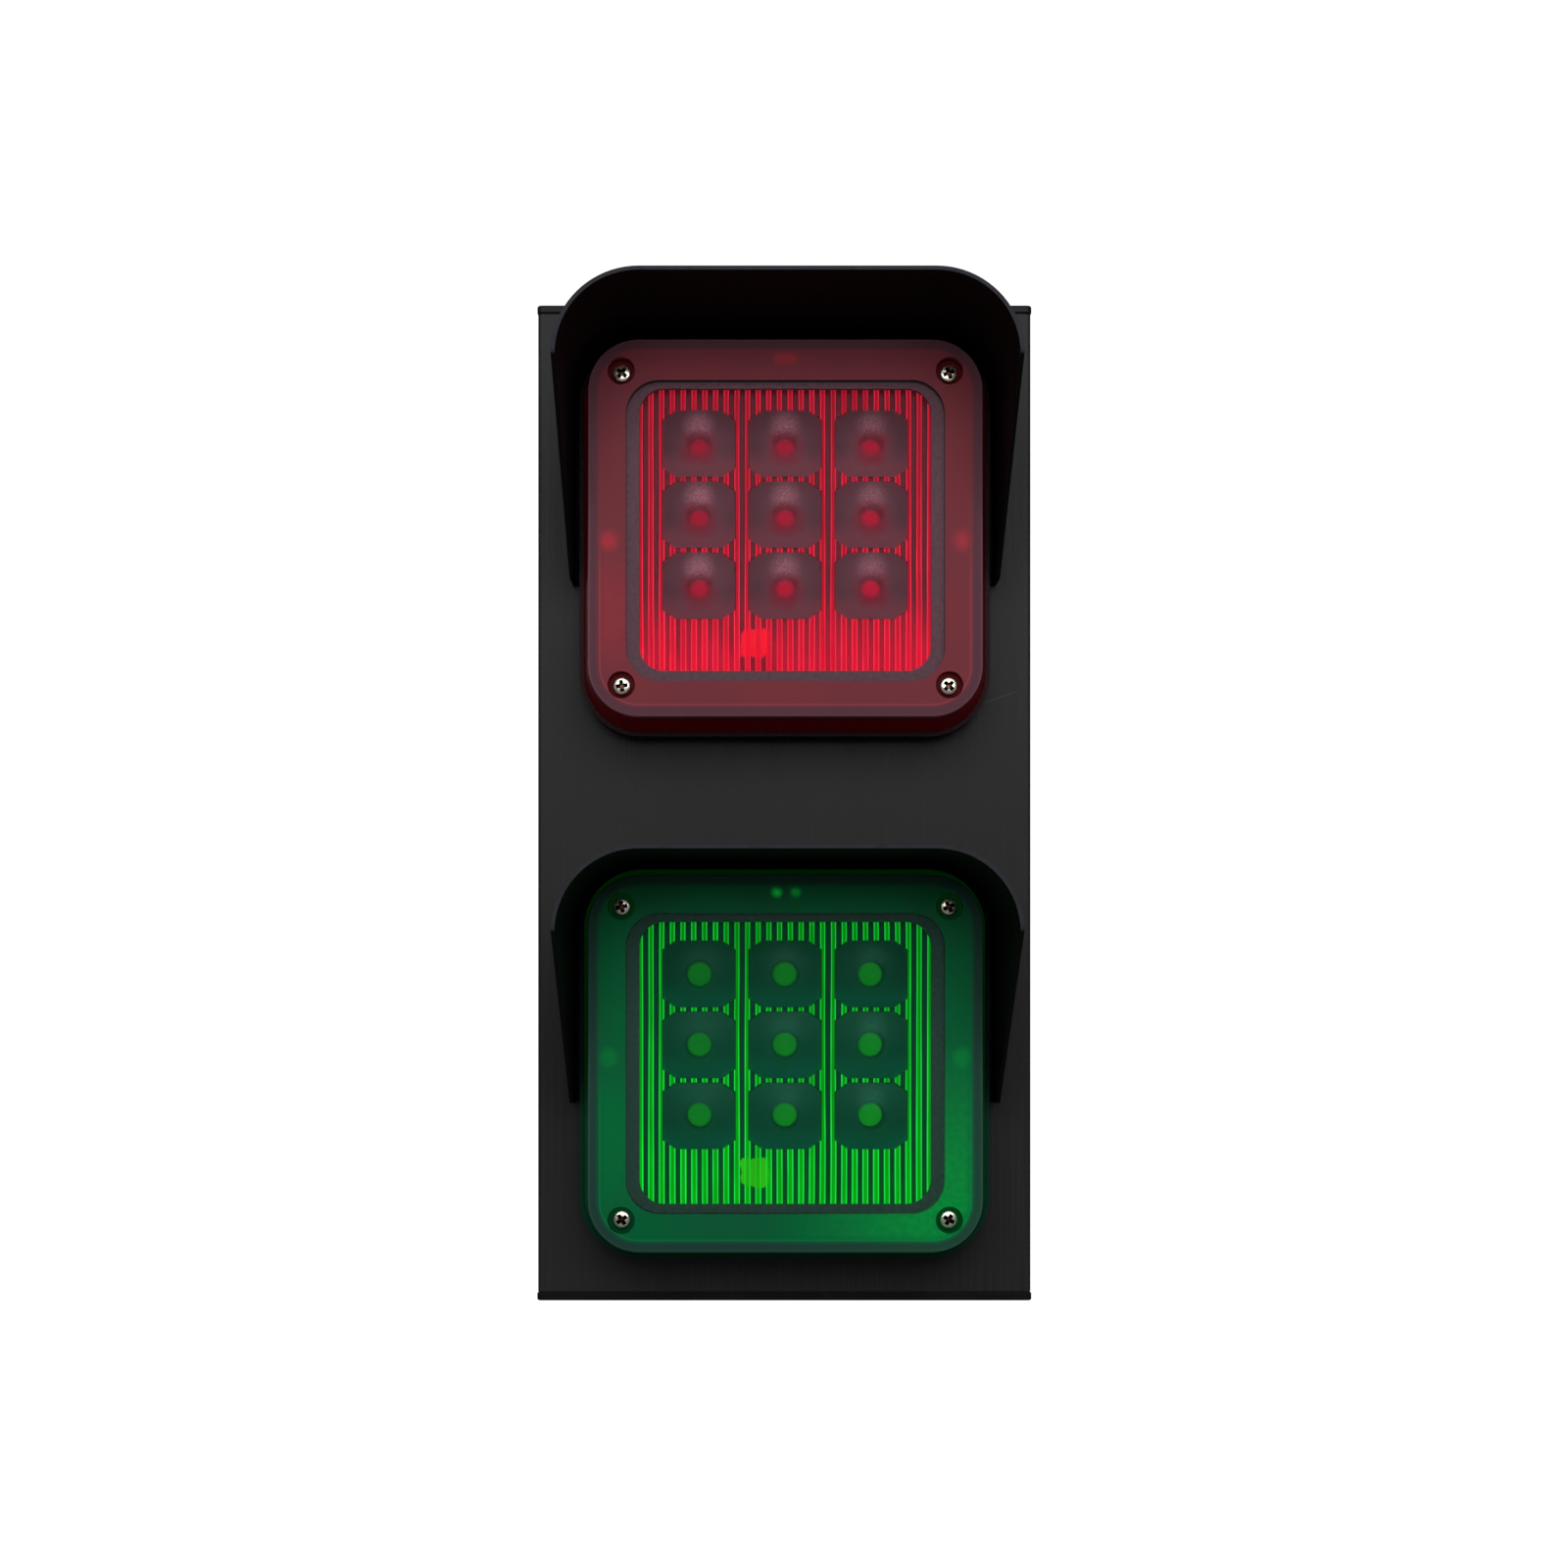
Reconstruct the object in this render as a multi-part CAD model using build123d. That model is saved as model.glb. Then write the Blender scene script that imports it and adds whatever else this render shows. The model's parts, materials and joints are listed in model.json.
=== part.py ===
from build123d import *
import os

# Two-aspect pedestrian traffic light on a tilting wall bracket. Millimetres.
# +Z is up, the lenses face -Y, and the origin is the centre of the wall bracket's back face.

# ---- driving dimensions ----
HOUSING_WIDTH = 160.0
HOUSING_DEPTH = 60.0
HOUSING_LENGTH = 317.0
HOUSING_WALL = 2.5
HOUSING_EDGE = 1.2
REAR_Y = -48.0
FRONT_Y = REAR_Y - HOUSING_DEPTH
MIDDLE_Y = (REAR_Y + FRONT_Y) / 2

CAP_THICKNESS = 2.4
CAP_OVERHANG = 0.3
CAP_GASKET = 0.6
CHANNEL_X = 74.0
CHANNEL_Y = 24.0
CHANNEL_RADIUS = 4.2

MODULE_CENTRES = {"red": 83.6, "green": -83.6}
MODULE_WIDTH = 131.5
MODULE_HEIGHT = 126.0
MODULE_CORNER = 20.0
OPENING_SIDE = 90.0
BASE_SCREW_X = 54.3
BASE_SCREW_Z = 30.0
COVER_SCREW_X = 51.25
COVER_SCREW_Z = 49.0
BOARD_SCREW_X = 41.0
BOARD_SCREW_Z = 38.0

# Heights in front of the housing's front face, in the order that the module stacks up.
SHEET = 1.2
GASKET_TOP = 2.5
BASE_TOP = 5.0
BOARD_BOTTOM = 7.0
BOARD_TOP = 8.6
FOOT_TOP = 9.0
PLATE_BOTTOM = 19.0
PLATE_TOP = 20.2
LENS_TOP = 21.2
GROOVE_BOTTOM = 24.4
COVER_INSIDE = 24.9
GROOVE_TOP = 25.4
COVER_TOP = 28.0
COVER_BOSS_BOTTOM = 18.0
COVER_SCREW_SEAT = 23.5

# How far each step of the cover's outline stands in from the module's outline.
SIDE_INSET_LOW = 1.5
FACE_INSET = 4.1
GROOVE_INSET = 5.1
CAVITY_INSET_LOW = 4.5
CAVITY_INSET_HIGH = 7.1
RIM_INSET = 5.4
SEAL_INSET = 2.0
SEAL_WIDTH = 1.6
COUNTERBORE = 4.3

FRAME_WIDTH = 100.5
FRAME_HEIGHT = 94.8
FRAME_CORNER = 11.0
FRAME_WALL = 1.4
WINDOW_WIDTH = 91.5
WINDOW_HEIGHT = 88.5
WINDOW_CORNER = 7.7
RIB_PITCH = 3.38
RIB_COUNT = 28
RIB_RADIUS = 1.0

LENS_WIDTH = 23.1
LENS_HEIGHT = 21.0
LENS_CUT = (4.3, 2.9)
LENS_GAP = 0.1
CROWN_RADIUS = 34.0
CROWN_HEIGHT = 1.35
LED_COLUMNS = (-27.2, 0.0, 27.2)
LED_ROWS = (-16.8, 5.6, 28.0)
LED_PACKAGE = 9.0
LED_PACKAGE_HEIGHT = 1.4
LED_DOME = 4.0
LED_POCKET = 6.8
PILOT_SIDE = 7.0
PILOT_X = -9.6
PILOT_Z = -34.8
TAB_REACH = 56.0
PIN_REACH = 54.0
PIN_SPACING = 3.0

VISOR_DEPTH = 80.0
VISOR_WIDTH = 137.1
VISOR_TOP = 65.2
VISOR_CORNER = 25.5
VISOR_TIP_Z = 40.6
VISOR_HEEL_Z = -13.2
VISOR_HEEL_DEPTH = 13.5
VISOR_ROUNDING = 3.0

PLUG_Z = -30.0
PLUG_REAR = -6.0
DRIVER_Y = -66.0
DRIVER_THICKNESS = 1.6
DRIVER_FRONT = DRIVER_Y - DRIVER_THICKNESS / 2
TRANSFORMER_X = -44.0
TRANSFORMER_Z = 60.0
CAN_X = (24.0, 40.0, 56.0)
CAN_Z = 66.0
TERMINAL_COUNT = 5
TERMINAL_PITCH = 5.08
TERMINAL_Z = -42.0
TERMINAL_SCREW_Z = -41.0
TERMINAL_SEAT = 8.0
SOCKET_Z = {"red": 14.0, "green": -15.0}
SOCKET_HEIGHT = 9.0
LEAD_RADIUS = 1.5
LEAD_BEND = 9.0

PIVOT_Y = -34.0
PIVOT_RADIUS = 3.0
PIVOT_WASHER = 1.6
WALL_SHEET = 3.0
WALL_HALF_WIDTH = 40.0
YOKE_SHEET = 2.5
YOKE_HALF_WIDTH = 36.0
YOKE_SCREW_X = 24.0
YOKE_SCREW_Z = 20.0
WALL_HOLE_X = 25.0
WALL_HOLE_Z = 45.0
WALL_HOLE_RADIUS = 3.25
GLAND_Z = -62.0
GLAND_THREAD = 10.0
GLAND_NECK = 9.0
GLAND_BORE = 6.5
GLAND_FLATS = 24.0
CORD_RADIUS = 4.0

# Cross-recessed pan-head screws: head radius, head height, shank radius.
M3 = (2.8, 2.2, 1.5)
M4 = (3.5, 2.4, 2.0)
M5 = (4.6, 2.8, 2.5)
TERMINAL_SCREW = (1.9, 1.5, 0.8)

# Threads are plain cylinders, so a tapped hole is wider than its screw by this much.
FIT = 0.04
M3_TAPPED = M3[2] + FIT / 2
M4_TAPPED = M4[2] + FIT / 2
PIVOT_CLEARANCE = 0.05


# ---- shared shapes ----
def front_plane(height, z=0.0):
    """A plane facing the viewer, at a height in front of the housing, centred on z."""
    return Plane.XZ.offset(height - FRONT_Y) * Pos(0, z)


def slab(width, tall, corner, start, end, z=0.0, x=0.0):
    """A rounded block seen from the front, between two heights in front of the housing."""
    return extrude(front_plane(start, z) * Pos(x, 0) * RectangleRounded(width, tall, corner), end - start)


def module_slab(inset, start, end, z):
    """The module's outline, drawn in by an inset, between two heights."""
    width = MODULE_WIDTH - 2 * inset
    tall = MODULE_HEIGHT - 2 * inset
    return slab(width, tall, MODULE_CORNER - inset, start, end, z)


def module_taper(low_inset, high_inset, start, end, z):
    """The module's outline, drawn in evenly from one inset to another."""
    sections = []
    for height, inset in ((start, low_inset), (end, high_inset)):
        width = MODULE_WIDTH - 2 * inset
        tall = MODULE_HEIGHT - 2 * inset
        sections.append(front_plane(height, z) * RectangleRounded(width, tall, MODULE_CORNER - inset))
    return loft(sections, ruled=True)


def peg(radius, start, end, x, z):
    """A round peg that points at the viewer."""
    return extrude(front_plane(start, z) * Pos(x, 0) * Circle(radius), end - start)


def four_corners(x, z):
    """The four mirror places of a point."""
    return [(side * x, level * z) for side in (-1, 1) for level in (-1, 1)]


def pan_screw(seat, size, length, turn=0.0):
    """A cross-recessed pan-head screw whose head stands on the seat plane."""
    head_radius, head_height, shank_radius = size
    head = Pos(0, 0, head_height / 2) * Cylinder(head_radius, head_height)
    head = fillet(head.edges().group_by(Axis.Z)[-1], head_height * 0.45)
    shank = Pos(0, 0, -length / 2) * Cylinder(shank_radius, length)
    blade = Box(head_radius * 1.2, head_radius * 0.3, head_height)
    recess = Pos(0, 0, head_height) * Rot(0, 0, turn) * (blade + Rot(0, 0, 90) * blade)
    return seat * (head + shank - recess)


def flat_screw(seat, head_radius, shank_radius, length):
    """A countersunk screw whose head is flush with the seat plane."""
    cone_height = head_radius - shank_radius
    cone = Pos(0, 0, -cone_height / 2) * Cone(shank_radius, head_radius, cone_height)
    shank = Pos(0, 0, -length / 2) * Cylinder(shank_radius, length)
    blade = Box(head_radius * 1.1, head_radius * 0.28, cone_height)
    return seat * (cone + shank - blade - Rot(0, 0, 90) * blade)


def hexagon_nut(seat, across_flats, height, hole_radius):
    """A hexagon nut that stands on the seat plane."""
    nut = extrude(RegularPolygon(across_flats / 2, 6, major_radius=False), height)
    return seat * (nut - Pos(0, 0, height / 2) * Cylinder(hole_radius, height))


def side_plane(x, direction=1):
    """A plane on the pivot axis that faces away from the middle of the bracket."""
    return Plane((x, PIVOT_Y, 0), x_dir=(0, 1, 0), z_dir=(direction, 0, 0))


# ---- housing body ----
def channel_places():
    return [(x, MIDDLE_Y + y) for x, y in four_corners(CHANNEL_X, CHANNEL_Y)]


def housing_profile():
    """An extruded tube with four screw channels, two board guides and two front openings."""
    centre = Pos(0, MIDDLE_Y)
    section = centre * RectangleRounded(HOUSING_WIDTH, HOUSING_DEPTH, HOUSING_EDGE)
    inner_width = HOUSING_WIDTH - 2 * HOUSING_WALL
    section -= centre * RectangleRounded(inner_width, HOUSING_DEPTH - 2 * HOUSING_WALL, 0.8)
    for x, y in channel_places():
        section += Pos(x, y) * Circle(CHANNEL_RADIUS)
    guide = 1.5
    guide_gap = DRIVER_THICKNESS + 0.2
    for side in (-1, 1):
        for step in (-1, 1):
            y = DRIVER_Y + step * (guide_gap + guide) / 2
            section += Pos(side * (inner_width / 2 - 0.9), y) * Rectangle(2.8, guide)
    for x, y in channel_places():
        section -= Pos(x, y) * Circle(M4_TAPPED)
    tube = extrude(Plane.XY.offset(-HOUSING_LENGTH / 2) * section, HOUSING_LENGTH)
    for z in MODULE_CENTRES.values():
        tube -= slab(OPENING_SIDE, OPENING_SIDE, 4, -HOUSING_WALL - 1, 1, z)
        for x, dz in four_corners(BASE_SCREW_X, BASE_SCREW_Z):
            tube -= peg(M4_TAPPED, -HOUSING_WALL - 1, 1, x, z + dz)
    rear = Plane.XZ.offset(-REAR_Y - 1)
    for x, z in four_corners(YOKE_SCREW_X, YOKE_SCREW_Z):
        tube -= extrude(rear * Pos(x, z) * Circle(2.6), HOUSING_WALL + 2)
    tube -= extrude(rear * Pos(0, GLAND_Z) * Circle(GLAND_THREAD + 0.1), HOUSING_WALL + 2)
    return tube


def cap(end):
    """A flat end plate that stands a little proud of the tube all round."""
    width = HOUSING_WIDTH + 2 * CAP_OVERHANG
    depth = HOUSING_DEPTH + 2 * CAP_OVERHANG
    inner = HOUSING_LENGTH / 2 + CAP_GASKET
    outline = Plane.XY.offset(inner) * Pos(0, MIDDLE_Y) * RectangleRounded(width, depth, 1.5)
    plate = extrude(outline, CAP_THICKNESS)
    plate = chamfer(plate.edges().group_by(Axis.Z)[-1], 0.4)
    for x, y in channel_places():
        top = Location((x, y, inner + CAP_THICKNESS))
        plate -= top * Pos(0, 0, -1.0) * Cone(2.1, 4.1, 2.0)
        plate -= top * Cylinder(2.2, 3 * CAP_THICKNESS)
    return turned_to(end, plate)


def turned_to(end, shape):
    """A shape drawn at the top end, kept there or mirrored to the bottom."""
    return shape if end > 0 else mirror(shape, Plane.XY)


def cap_gasket(end):
    """A thin rubber frame between the tube's end and the cap."""
    start = HOUSING_LENGTH / 2
    centre = Plane.XY.offset(start) * Pos(0, MIDDLE_Y)
    frame = extrude(centre * RectangleRounded(HOUSING_WIDTH - 1, HOUSING_DEPTH - 1, 1), CAP_GASKET)
    frame -= extrude(centre * RectangleRounded(HOUSING_WIDTH - 22, HOUSING_DEPTH - 22, 4), CAP_GASKET)
    for x, y in channel_places():
        frame -= Location((x, y, start)) * Cylinder(2.3, 3 * CAP_GASKET)
    return turned_to(end, frame)


def cap_screws(end):
    top = HOUSING_LENGTH / 2 + CAP_GASKET + CAP_THICKNESS
    screws = [flat_screw(Location((x, y, top)), 4.0, 2.0, 16.0) for x, y in channel_places()]
    return turned_to(end, Compound(screws))


# ---- signal modules ----
def visor(z):
    """A sheet hood, cut away on a slant at both legs, on a ring that the base clamps down."""
    hood_outline = (VISOR_WIDTH, 2 * VISOR_TOP, VISOR_CORNER)
    lining = (VISOR_WIDTH - 2 * SHEET, 2 * (VISOR_TOP - SHEET), VISOR_CORNER - SHEET)
    hood = slab(*hood_outline, 0, VISOR_DEPTH, z) - slab(*lining, 0, VISOR_DEPTH, z)
    corners = [
        (0, VISOR_TOP + 1),
        (VISOR_DEPTH, VISOR_TOP + 1),
        (VISOR_DEPTH, VISOR_TIP_Z),
        (VISOR_HEEL_DEPTH, VISOR_HEEL_Z),
        (0, VISOR_HEEL_Z),
    ]
    points = [(FRONT_Y - height, z + level) for height, level in corners]
    side = make_face(Polyline(*points, close=True))
    tip, heel = points[2], points[3]
    rounded = [side.vertices().sort_by_distance((y, level, 0))[0] for y, level in (tip, heel)]
    side = fillet(rounded, VISOR_ROUNDING)
    side_view = extrude(Plane.YZ * side, VISOR_WIDTH, both=True)
    ring = module_slab(0, 0, SHEET, z) + (slab(*hood_outline, 0, SHEET, z) & side_view)
    ring -= slab(OPENING_SIDE + 6, OPENING_SIDE + 6, 4, 0, SHEET, z)
    for x, dz in four_corners(BASE_SCREW_X, BASE_SCREW_Z):
        ring -= peg(2.2, 0, SHEET, x, z + dz)
    return (hood & side_view) + ring


def base_gasket(z):
    """A foam frame between the visor's ring and the base."""
    frame = module_slab(1.0, SHEET, GASKET_TOP, z)
    frame -= slab(OPENING_SIDE + 10, OPENING_SIDE + 8, 4, SHEET, GASKET_TOP, z)
    for x, dz in four_corners(BASE_SCREW_X, BASE_SCREW_Z):
        frame -= peg(2.2, SHEET, GASKET_TOP, x, z + dz)
    return frame


def base(z):
    """The black plate that carries the board, with a rim, cover bosses and board pillars."""
    plate = module_slab(0, GASKET_TOP, BASE_TOP, z)
    plate += module_slab(RIM_INSET, BASE_TOP, 8, z) - module_slab(RIM_INSET + 2, BASE_TOP, 8, z)
    boss_top = COVER_BOSS_BOTTOM - 0.1
    for x, dz in four_corners(COVER_SCREW_X, COVER_SCREW_Z):
        plate += peg(4.5, BASE_TOP, boss_top, x, z + dz)
        plate -= peg(M3_TAPPED, 7.5, boss_top, x, z + dz)
    for x, dz in four_corners(BOARD_SCREW_X, BOARD_SCREW_Z):
        plate += peg(3.5, -3.5, BOARD_BOTTOM, x, z + dz)
        plate -= peg(M3_TAPPED, 0, BOARD_BOTTOM, x, z + dz)
    for x, dz in four_corners(BASE_SCREW_X, BASE_SCREW_Z):
        plate -= peg(2.2, GASKET_TOP, BASE_TOP, x, z + dz)
    return plate - slab(16, 10, 1, GASKET_TOP, BASE_TOP, z + PLUG_Z)


def base_screws(z):
    return Compound([
        pan_screw(front_plane(BASE_TOP, z + dz) * Pos(x, 0), M4, 12.0)
        for x, dz in four_corners(BASE_SCREW_X, BASE_SCREW_Z)
    ])


def led_board(z):
    corner = FRAME_CORNER - FRAME_WALL - 0.2
    width = FRAME_WIDTH - 2 * FRAME_WALL - 0.7
    board = slab(width, FRAME_HEIGHT - 2 * FRAME_WALL - 0.8, corner, BOARD_BOTTOM, BOARD_TOP, z)
    for x, dz in four_corners(BOARD_SCREW_X, BOARD_SCREW_Z):
        board -= peg(1.6, BOARD_BOTTOM, BOARD_TOP, x, z + dz)
    return board


def board_screws(z):
    return Compound([
        pan_screw(front_plane(BOARD_TOP, z + dz) * Pos(x, 0), M3, 8.0)
        for x, dz in four_corners(BOARD_SCREW_X, BOARD_SCREW_Z)
    ])


def leds(z):
    """Nine square packages, each with a round dome, and the square pilot light below them."""
    side = LED_PACKAGE
    dome_height = BOARD_TOP + LED_PACKAGE_HEIGHT
    pieces = []
    for x in LED_COLUMNS:
        for row in LED_ROWS:
            package = slab(side, side, 1, BOARD_TOP, dome_height, z + row, x)
            ball = front_plane(dome_height, z + row) * Pos(x, 0, 0) * Sphere(LED_DOME)
            dome = ball & slab(side, side, 1, dome_height, dome_height + LED_DOME, z + row, x)
            pieces.append(package + dome)
    pieces.append(slab(PILOT_SIDE, PILOT_SIDE, 1.5, BOARD_TOP, BOARD_TOP + 4, z + PILOT_Z, PILOT_X))
    return Compound(pieces)


def lens_outline(grow=0.0):
    """A lens block's front outline, a rectangle with each corner cut off."""
    half_width = LENS_WIDTH / 2 + grow
    half_height = LENS_HEIGHT / 2 + grow
    cut_x, cut_z = LENS_CUT
    corner = [(half_width, half_height - cut_z), (half_width - cut_x, half_height)]
    upper = corner + [(-x, z) for x, z in reversed(corner)]
    return make_face(Polyline(*upper, *[(-x, -z) for x, z in upper], close=True))


def lens_blocks(z):
    """Nine clear blocks on the board, hollow over each LED and cut to a shallow dome in front."""
    tall = LENS_TOP + CROWN_HEIGHT + 1 - BOARD_TOP
    blocks = []
    for x in LED_COLUMNS:
        for row in LED_ROWS:
            foot = front_plane(BOARD_TOP, z + row) * Pos(x, 0)
            block = extrude(foot * lens_outline(), tall)
            block -= peg(LED_POCKET, BOARD_TOP, 15.5, x, z + row)
            centre = front_plane(LENS_TOP + CROWN_HEIGHT - CROWN_RADIUS, z + row) * Pos(x, 0)
            blocks.append(block & (centre * Sphere(CROWN_RADIUS)))
    return Compound(blocks)


def ribbed_optic(z):
    """A clear plate with upright half-round ribs, nine windows, two side tabs and two top pins."""
    clearance = 0.25
    width = FRAME_WIDTH - 2 * FRAME_WALL - 2 * clearance
    tall = FRAME_HEIGHT - 2 * FRAME_WALL - 2 * clearance
    outline = (width, tall, FRAME_CORNER - FRAME_WALL)
    plate = slab(*outline, PLATE_BOTTOM, PLATE_TOP, z)
    room = slab(*outline, PLATE_TOP, PLATE_TOP + RIB_RADIUS, z)
    rib_length = WINDOW_HEIGHT - 2
    half_round = Circle(RIB_RADIUS) & Pos(0, -RIB_RADIUS) * Rectangle(4, 2 * RIB_RADIUS)
    rib = extrude(half_round, rib_length)
    for index in range(RIB_COUNT):
        x = (index - (RIB_COUNT - 1) / 2) * RIB_PITCH
        plate += (Pos(x, FRONT_Y - PLATE_TOP, z - rib_length / 2) * rib) & room
    for x in LED_COLUMNS:
        for row in LED_ROWS:
            foot = front_plane(PLATE_BOTTOM - 1, z + row) * Pos(x, 0)
            plate -= extrude(foot * lens_outline(LENS_GAP), 5)
    for side in (-1, 1):
        length = TAB_REACH - width / 2 + 2
        plate += slab(length, 5, 0.5, PLATE_BOTTOM, PLATE_TOP, z, side * (TAB_REACH - length / 2))
        length = PIN_REACH - tall / 2 + 2
        middle = z + PIN_REACH - length / 2
        plate += slab(2, length, 0.5, PLATE_BOTTOM, PLATE_TOP, middle, side * PIN_SPACING)
    return plate


def mask_frame(z):
    """A grey bezel: a skirt round the optics, a front lip, and a ledge that carries the ribbed plate."""
    outer = (FRAME_WIDTH, FRAME_HEIGHT, FRAME_CORNER)
    inner_width = FRAME_WIDTH - 2 * FRAME_WALL
    inner = (inner_width, FRAME_HEIGHT - 2 * FRAME_WALL, FRAME_CORNER - FRAME_WALL)
    window = (WINDOW_WIDTH, WINDOW_HEIGHT, WINDOW_CORNER)
    frame_top = COVER_INSIDE - 0.1
    lip = frame_top - 1.9
    ledge = PLATE_BOTTOM - 0.1
    frame = slab(*outer, BASE_TOP, frame_top, z)
    frame -= slab(*inner, BASE_TOP, ledge - 1.5, z)
    frame -= slab(*window, ledge - 1.5, ledge, z)
    frame -= slab(*inner, ledge, lip, z)
    frame -= slab(*window, lip, frame_top, z)
    frame -= slab(FRAME_WIDTH + 2, 5.6, 0.5, ledge, PLATE_TOP + 0.1, z)
    for side in (-1, 1):
        middle = z + FRAME_HEIGHT / 2
        frame -= slab(2.6, 10, 0.5, ledge, PLATE_TOP + 0.1, middle, side * PIN_SPACING)
    return frame


def cover_seal(z):
    """A silicone ring in the groove under the cover's foot."""
    ring = module_slab(SEAL_INSET, BASE_TOP, 6.1, z)
    return ring - module_slab(SEAL_INSET + SEAL_WIDTH, BASE_TOP, 6.1, z)


def lens_cover(z):
    """A tinted box lid: a foot, a leaning side wall, a shadow groove and a front plate."""
    cover = module_slab(0, BASE_TOP, FOOT_TOP, z)
    cover += module_taper(SIDE_INSET_LOW, FACE_INSET, FOOT_TOP, GROOVE_BOTTOM, z)
    cover += module_slab(GROOVE_INSET, GROOVE_BOTTOM, GROOVE_TOP, z)
    face = module_slab(FACE_INSET, GROOVE_TOP, COVER_TOP, z)
    cover += fillet(face.edges().group_by(Axis.Y)[0], 0.6)
    cover -= module_taper(CAVITY_INSET_LOW, CAVITY_INSET_HIGH, BASE_TOP, COVER_INSIDE, z)
    groove = module_slab(SEAL_INSET - 0.1, BASE_TOP, 6.2, z)
    cover -= groove - module_slab(SEAL_INSET + SEAL_WIDTH + 0.1, BASE_TOP, 6.2, z)
    for x, dz in four_corners(COVER_SCREW_X, COVER_SCREW_Z):
        cover += peg(5.5, COVER_BOSS_BOTTOM, GROOVE_TOP, x, z + dz)
        cover -= peg(1.7, COVER_BOSS_BOTTOM, COVER_TOP, x, z + dz)
        cover -= peg(COUNTERBORE, COVER_SCREW_SEAT, COVER_TOP, x, z + dz)
    return cover


def cover_screws(z):
    """Four screws, each left at its own angle."""
    turns = (8, 52, 47, 20)
    return Compound([
        pan_screw(front_plane(COVER_SCREW_SEAT, z + dz) * Pos(x, 0), M3, 15.5, turn)
        for (x, dz), turn in zip(four_corners(COVER_SCREW_X, COVER_SCREW_Z), turns)
    ])


def board_plug(z):
    """The connector under the LED board, which reaches back through the base."""
    return slab(14, 8, 0.8, PLUG_REAR, BOARD_BOTTOM, z + PLUG_Z)


# ---- driver inside the housing ----
def driver_block(width, tall, height, x, z, corner=1.0):
    """A component that stands on the driver board's front."""
    outline = Plane.XZ.offset(-DRIVER_FRONT) * Pos(x, z) * RectangleRounded(width, tall, corner)
    return extrude(outline, height)


def driver_board():
    board = Box(HOUSING_WIDTH - 2 * HOUSING_WALL - 0.6, DRIVER_THICKNESS, 145)
    return Pos(0, DRIVER_Y, 22.5) * board


def transformer():
    """A laminated core with its winding round the middle limb."""
    core = driver_block(42, 36, 24, TRANSFORMER_X, TRANSFORMER_Z)
    return core + driver_block(26, 48, 20, TRANSFORMER_X, TRANSFORMER_Z, 4)


def capacitors():
    cans = [Plane.XZ.offset(-DRIVER_FRONT) * Pos(x, CAN_Z) * Circle(6.5) for x in CAN_X]
    return Compound([extrude(can, 22) for can in cans])


def terminal_places():
    """Where each way of the terminal block stands from side to side."""
    return [(index - (TERMINAL_COUNT - 1) / 2) * TERMINAL_PITCH for index in range(TERMINAL_COUNT)]


def terminal_block():
    """A five-way screw terminal with its wire mouths facing down."""
    tall = 13.0
    height = 12.0
    mouth_depth = 8.0
    block = driver_block(28, tall, height, 0, TERMINAL_Z)
    seat = Plane.XZ.offset(TERMINAL_SEAT - DRIVER_FRONT)
    mouth_z = TERMINAL_Z - tall / 2 + mouth_depth / 2 - 1.5
    for x in terminal_places():
        block -= Pos(x, DRIVER_FRONT - 4.5, mouth_z) * Box(3.6, 4.0, mouth_depth)
        block -= extrude(seat * Pos(x, TERMINAL_SCREW_Z) * Circle(2.0), height - TERMINAL_SEAT)
        block -= extrude(seat.offset(-3) * Pos(x, TERMINAL_SCREW_Z) * Circle(0.82), 4)
    return block


def terminal_screws():
    seat = Plane.XZ.offset(TERMINAL_SEAT - DRIVER_FRONT)
    return Compound([
        pan_screw(seat * Pos(x, TERMINAL_SCREW_Z), TERMINAL_SCREW, 3.0) for x in terminal_places()
    ])


def lead_sockets():
    return Compound([driver_block(14, 8, SOCKET_HEIGHT, 0, z) for z in SOCKET_Z.values()])


def module_lead(name):
    """A two-core lead from a socket on the driver board to a module's plug."""
    start = FRONT_Y - PLUG_REAR
    end = DRIVER_FRONT - SOCKET_HEIGHT
    plug_z = MODULE_CENTRES[name] + PLUG_Z
    socket_z = SOCKET_Z[name]
    route = FilletPolyline(
        (0, start, plug_z), (0, start + 11, plug_z), (0, end - 11, socket_z), (0, end, socket_z),
        radius=LEAD_BEND,
    )
    section = Plane((0, start, plug_z), z_dir=(0, 1, 0)) * Circle(LEAD_RADIUS)
    return sweep(section, path=route)


# ---- cable gland in the rear wall ----
def gland_plane(y):
    """A plane that faces the wall, centred on the gland."""
    return Plane((0, y, GLAND_Z), x_dir=(1, 0, 0), z_dir=(0, 1, 0))


def rear_tube(radius, start, end):
    return extrude(gland_plane(start) * Circle(radius), end - start)


def gland_body():
    inner_end = REAR_Y - 12
    outer_end = REAR_Y + 16
    hexagon = gland_plane(REAR_Y) * RegularPolygon(GLAND_FLATS / 2, 6, major_radius=False)
    tube = rear_tube(GLAND_THREAD, inner_end, REAR_Y) + extrude(hexagon, 6)
    tube += rear_tube(GLAND_NECK, REAR_Y + 6, outer_end)
    return tube - rear_tube(GLAND_BORE, inner_end, outer_end)


def gland_locknut():
    seat = Plane((0, REAR_Y - HOUSING_WALL, GLAND_Z), z_dir=(0, -1, 0))
    return hexagon_nut(seat, 26, 5, GLAND_THREAD + FIT / 2)


def gland_seal():
    start = REAR_Y + 4
    end = REAR_Y + 18
    return rear_tube(GLAND_BORE - FIT / 2, start, end) - rear_tube(CORD_RADIUS, start, end)


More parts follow.
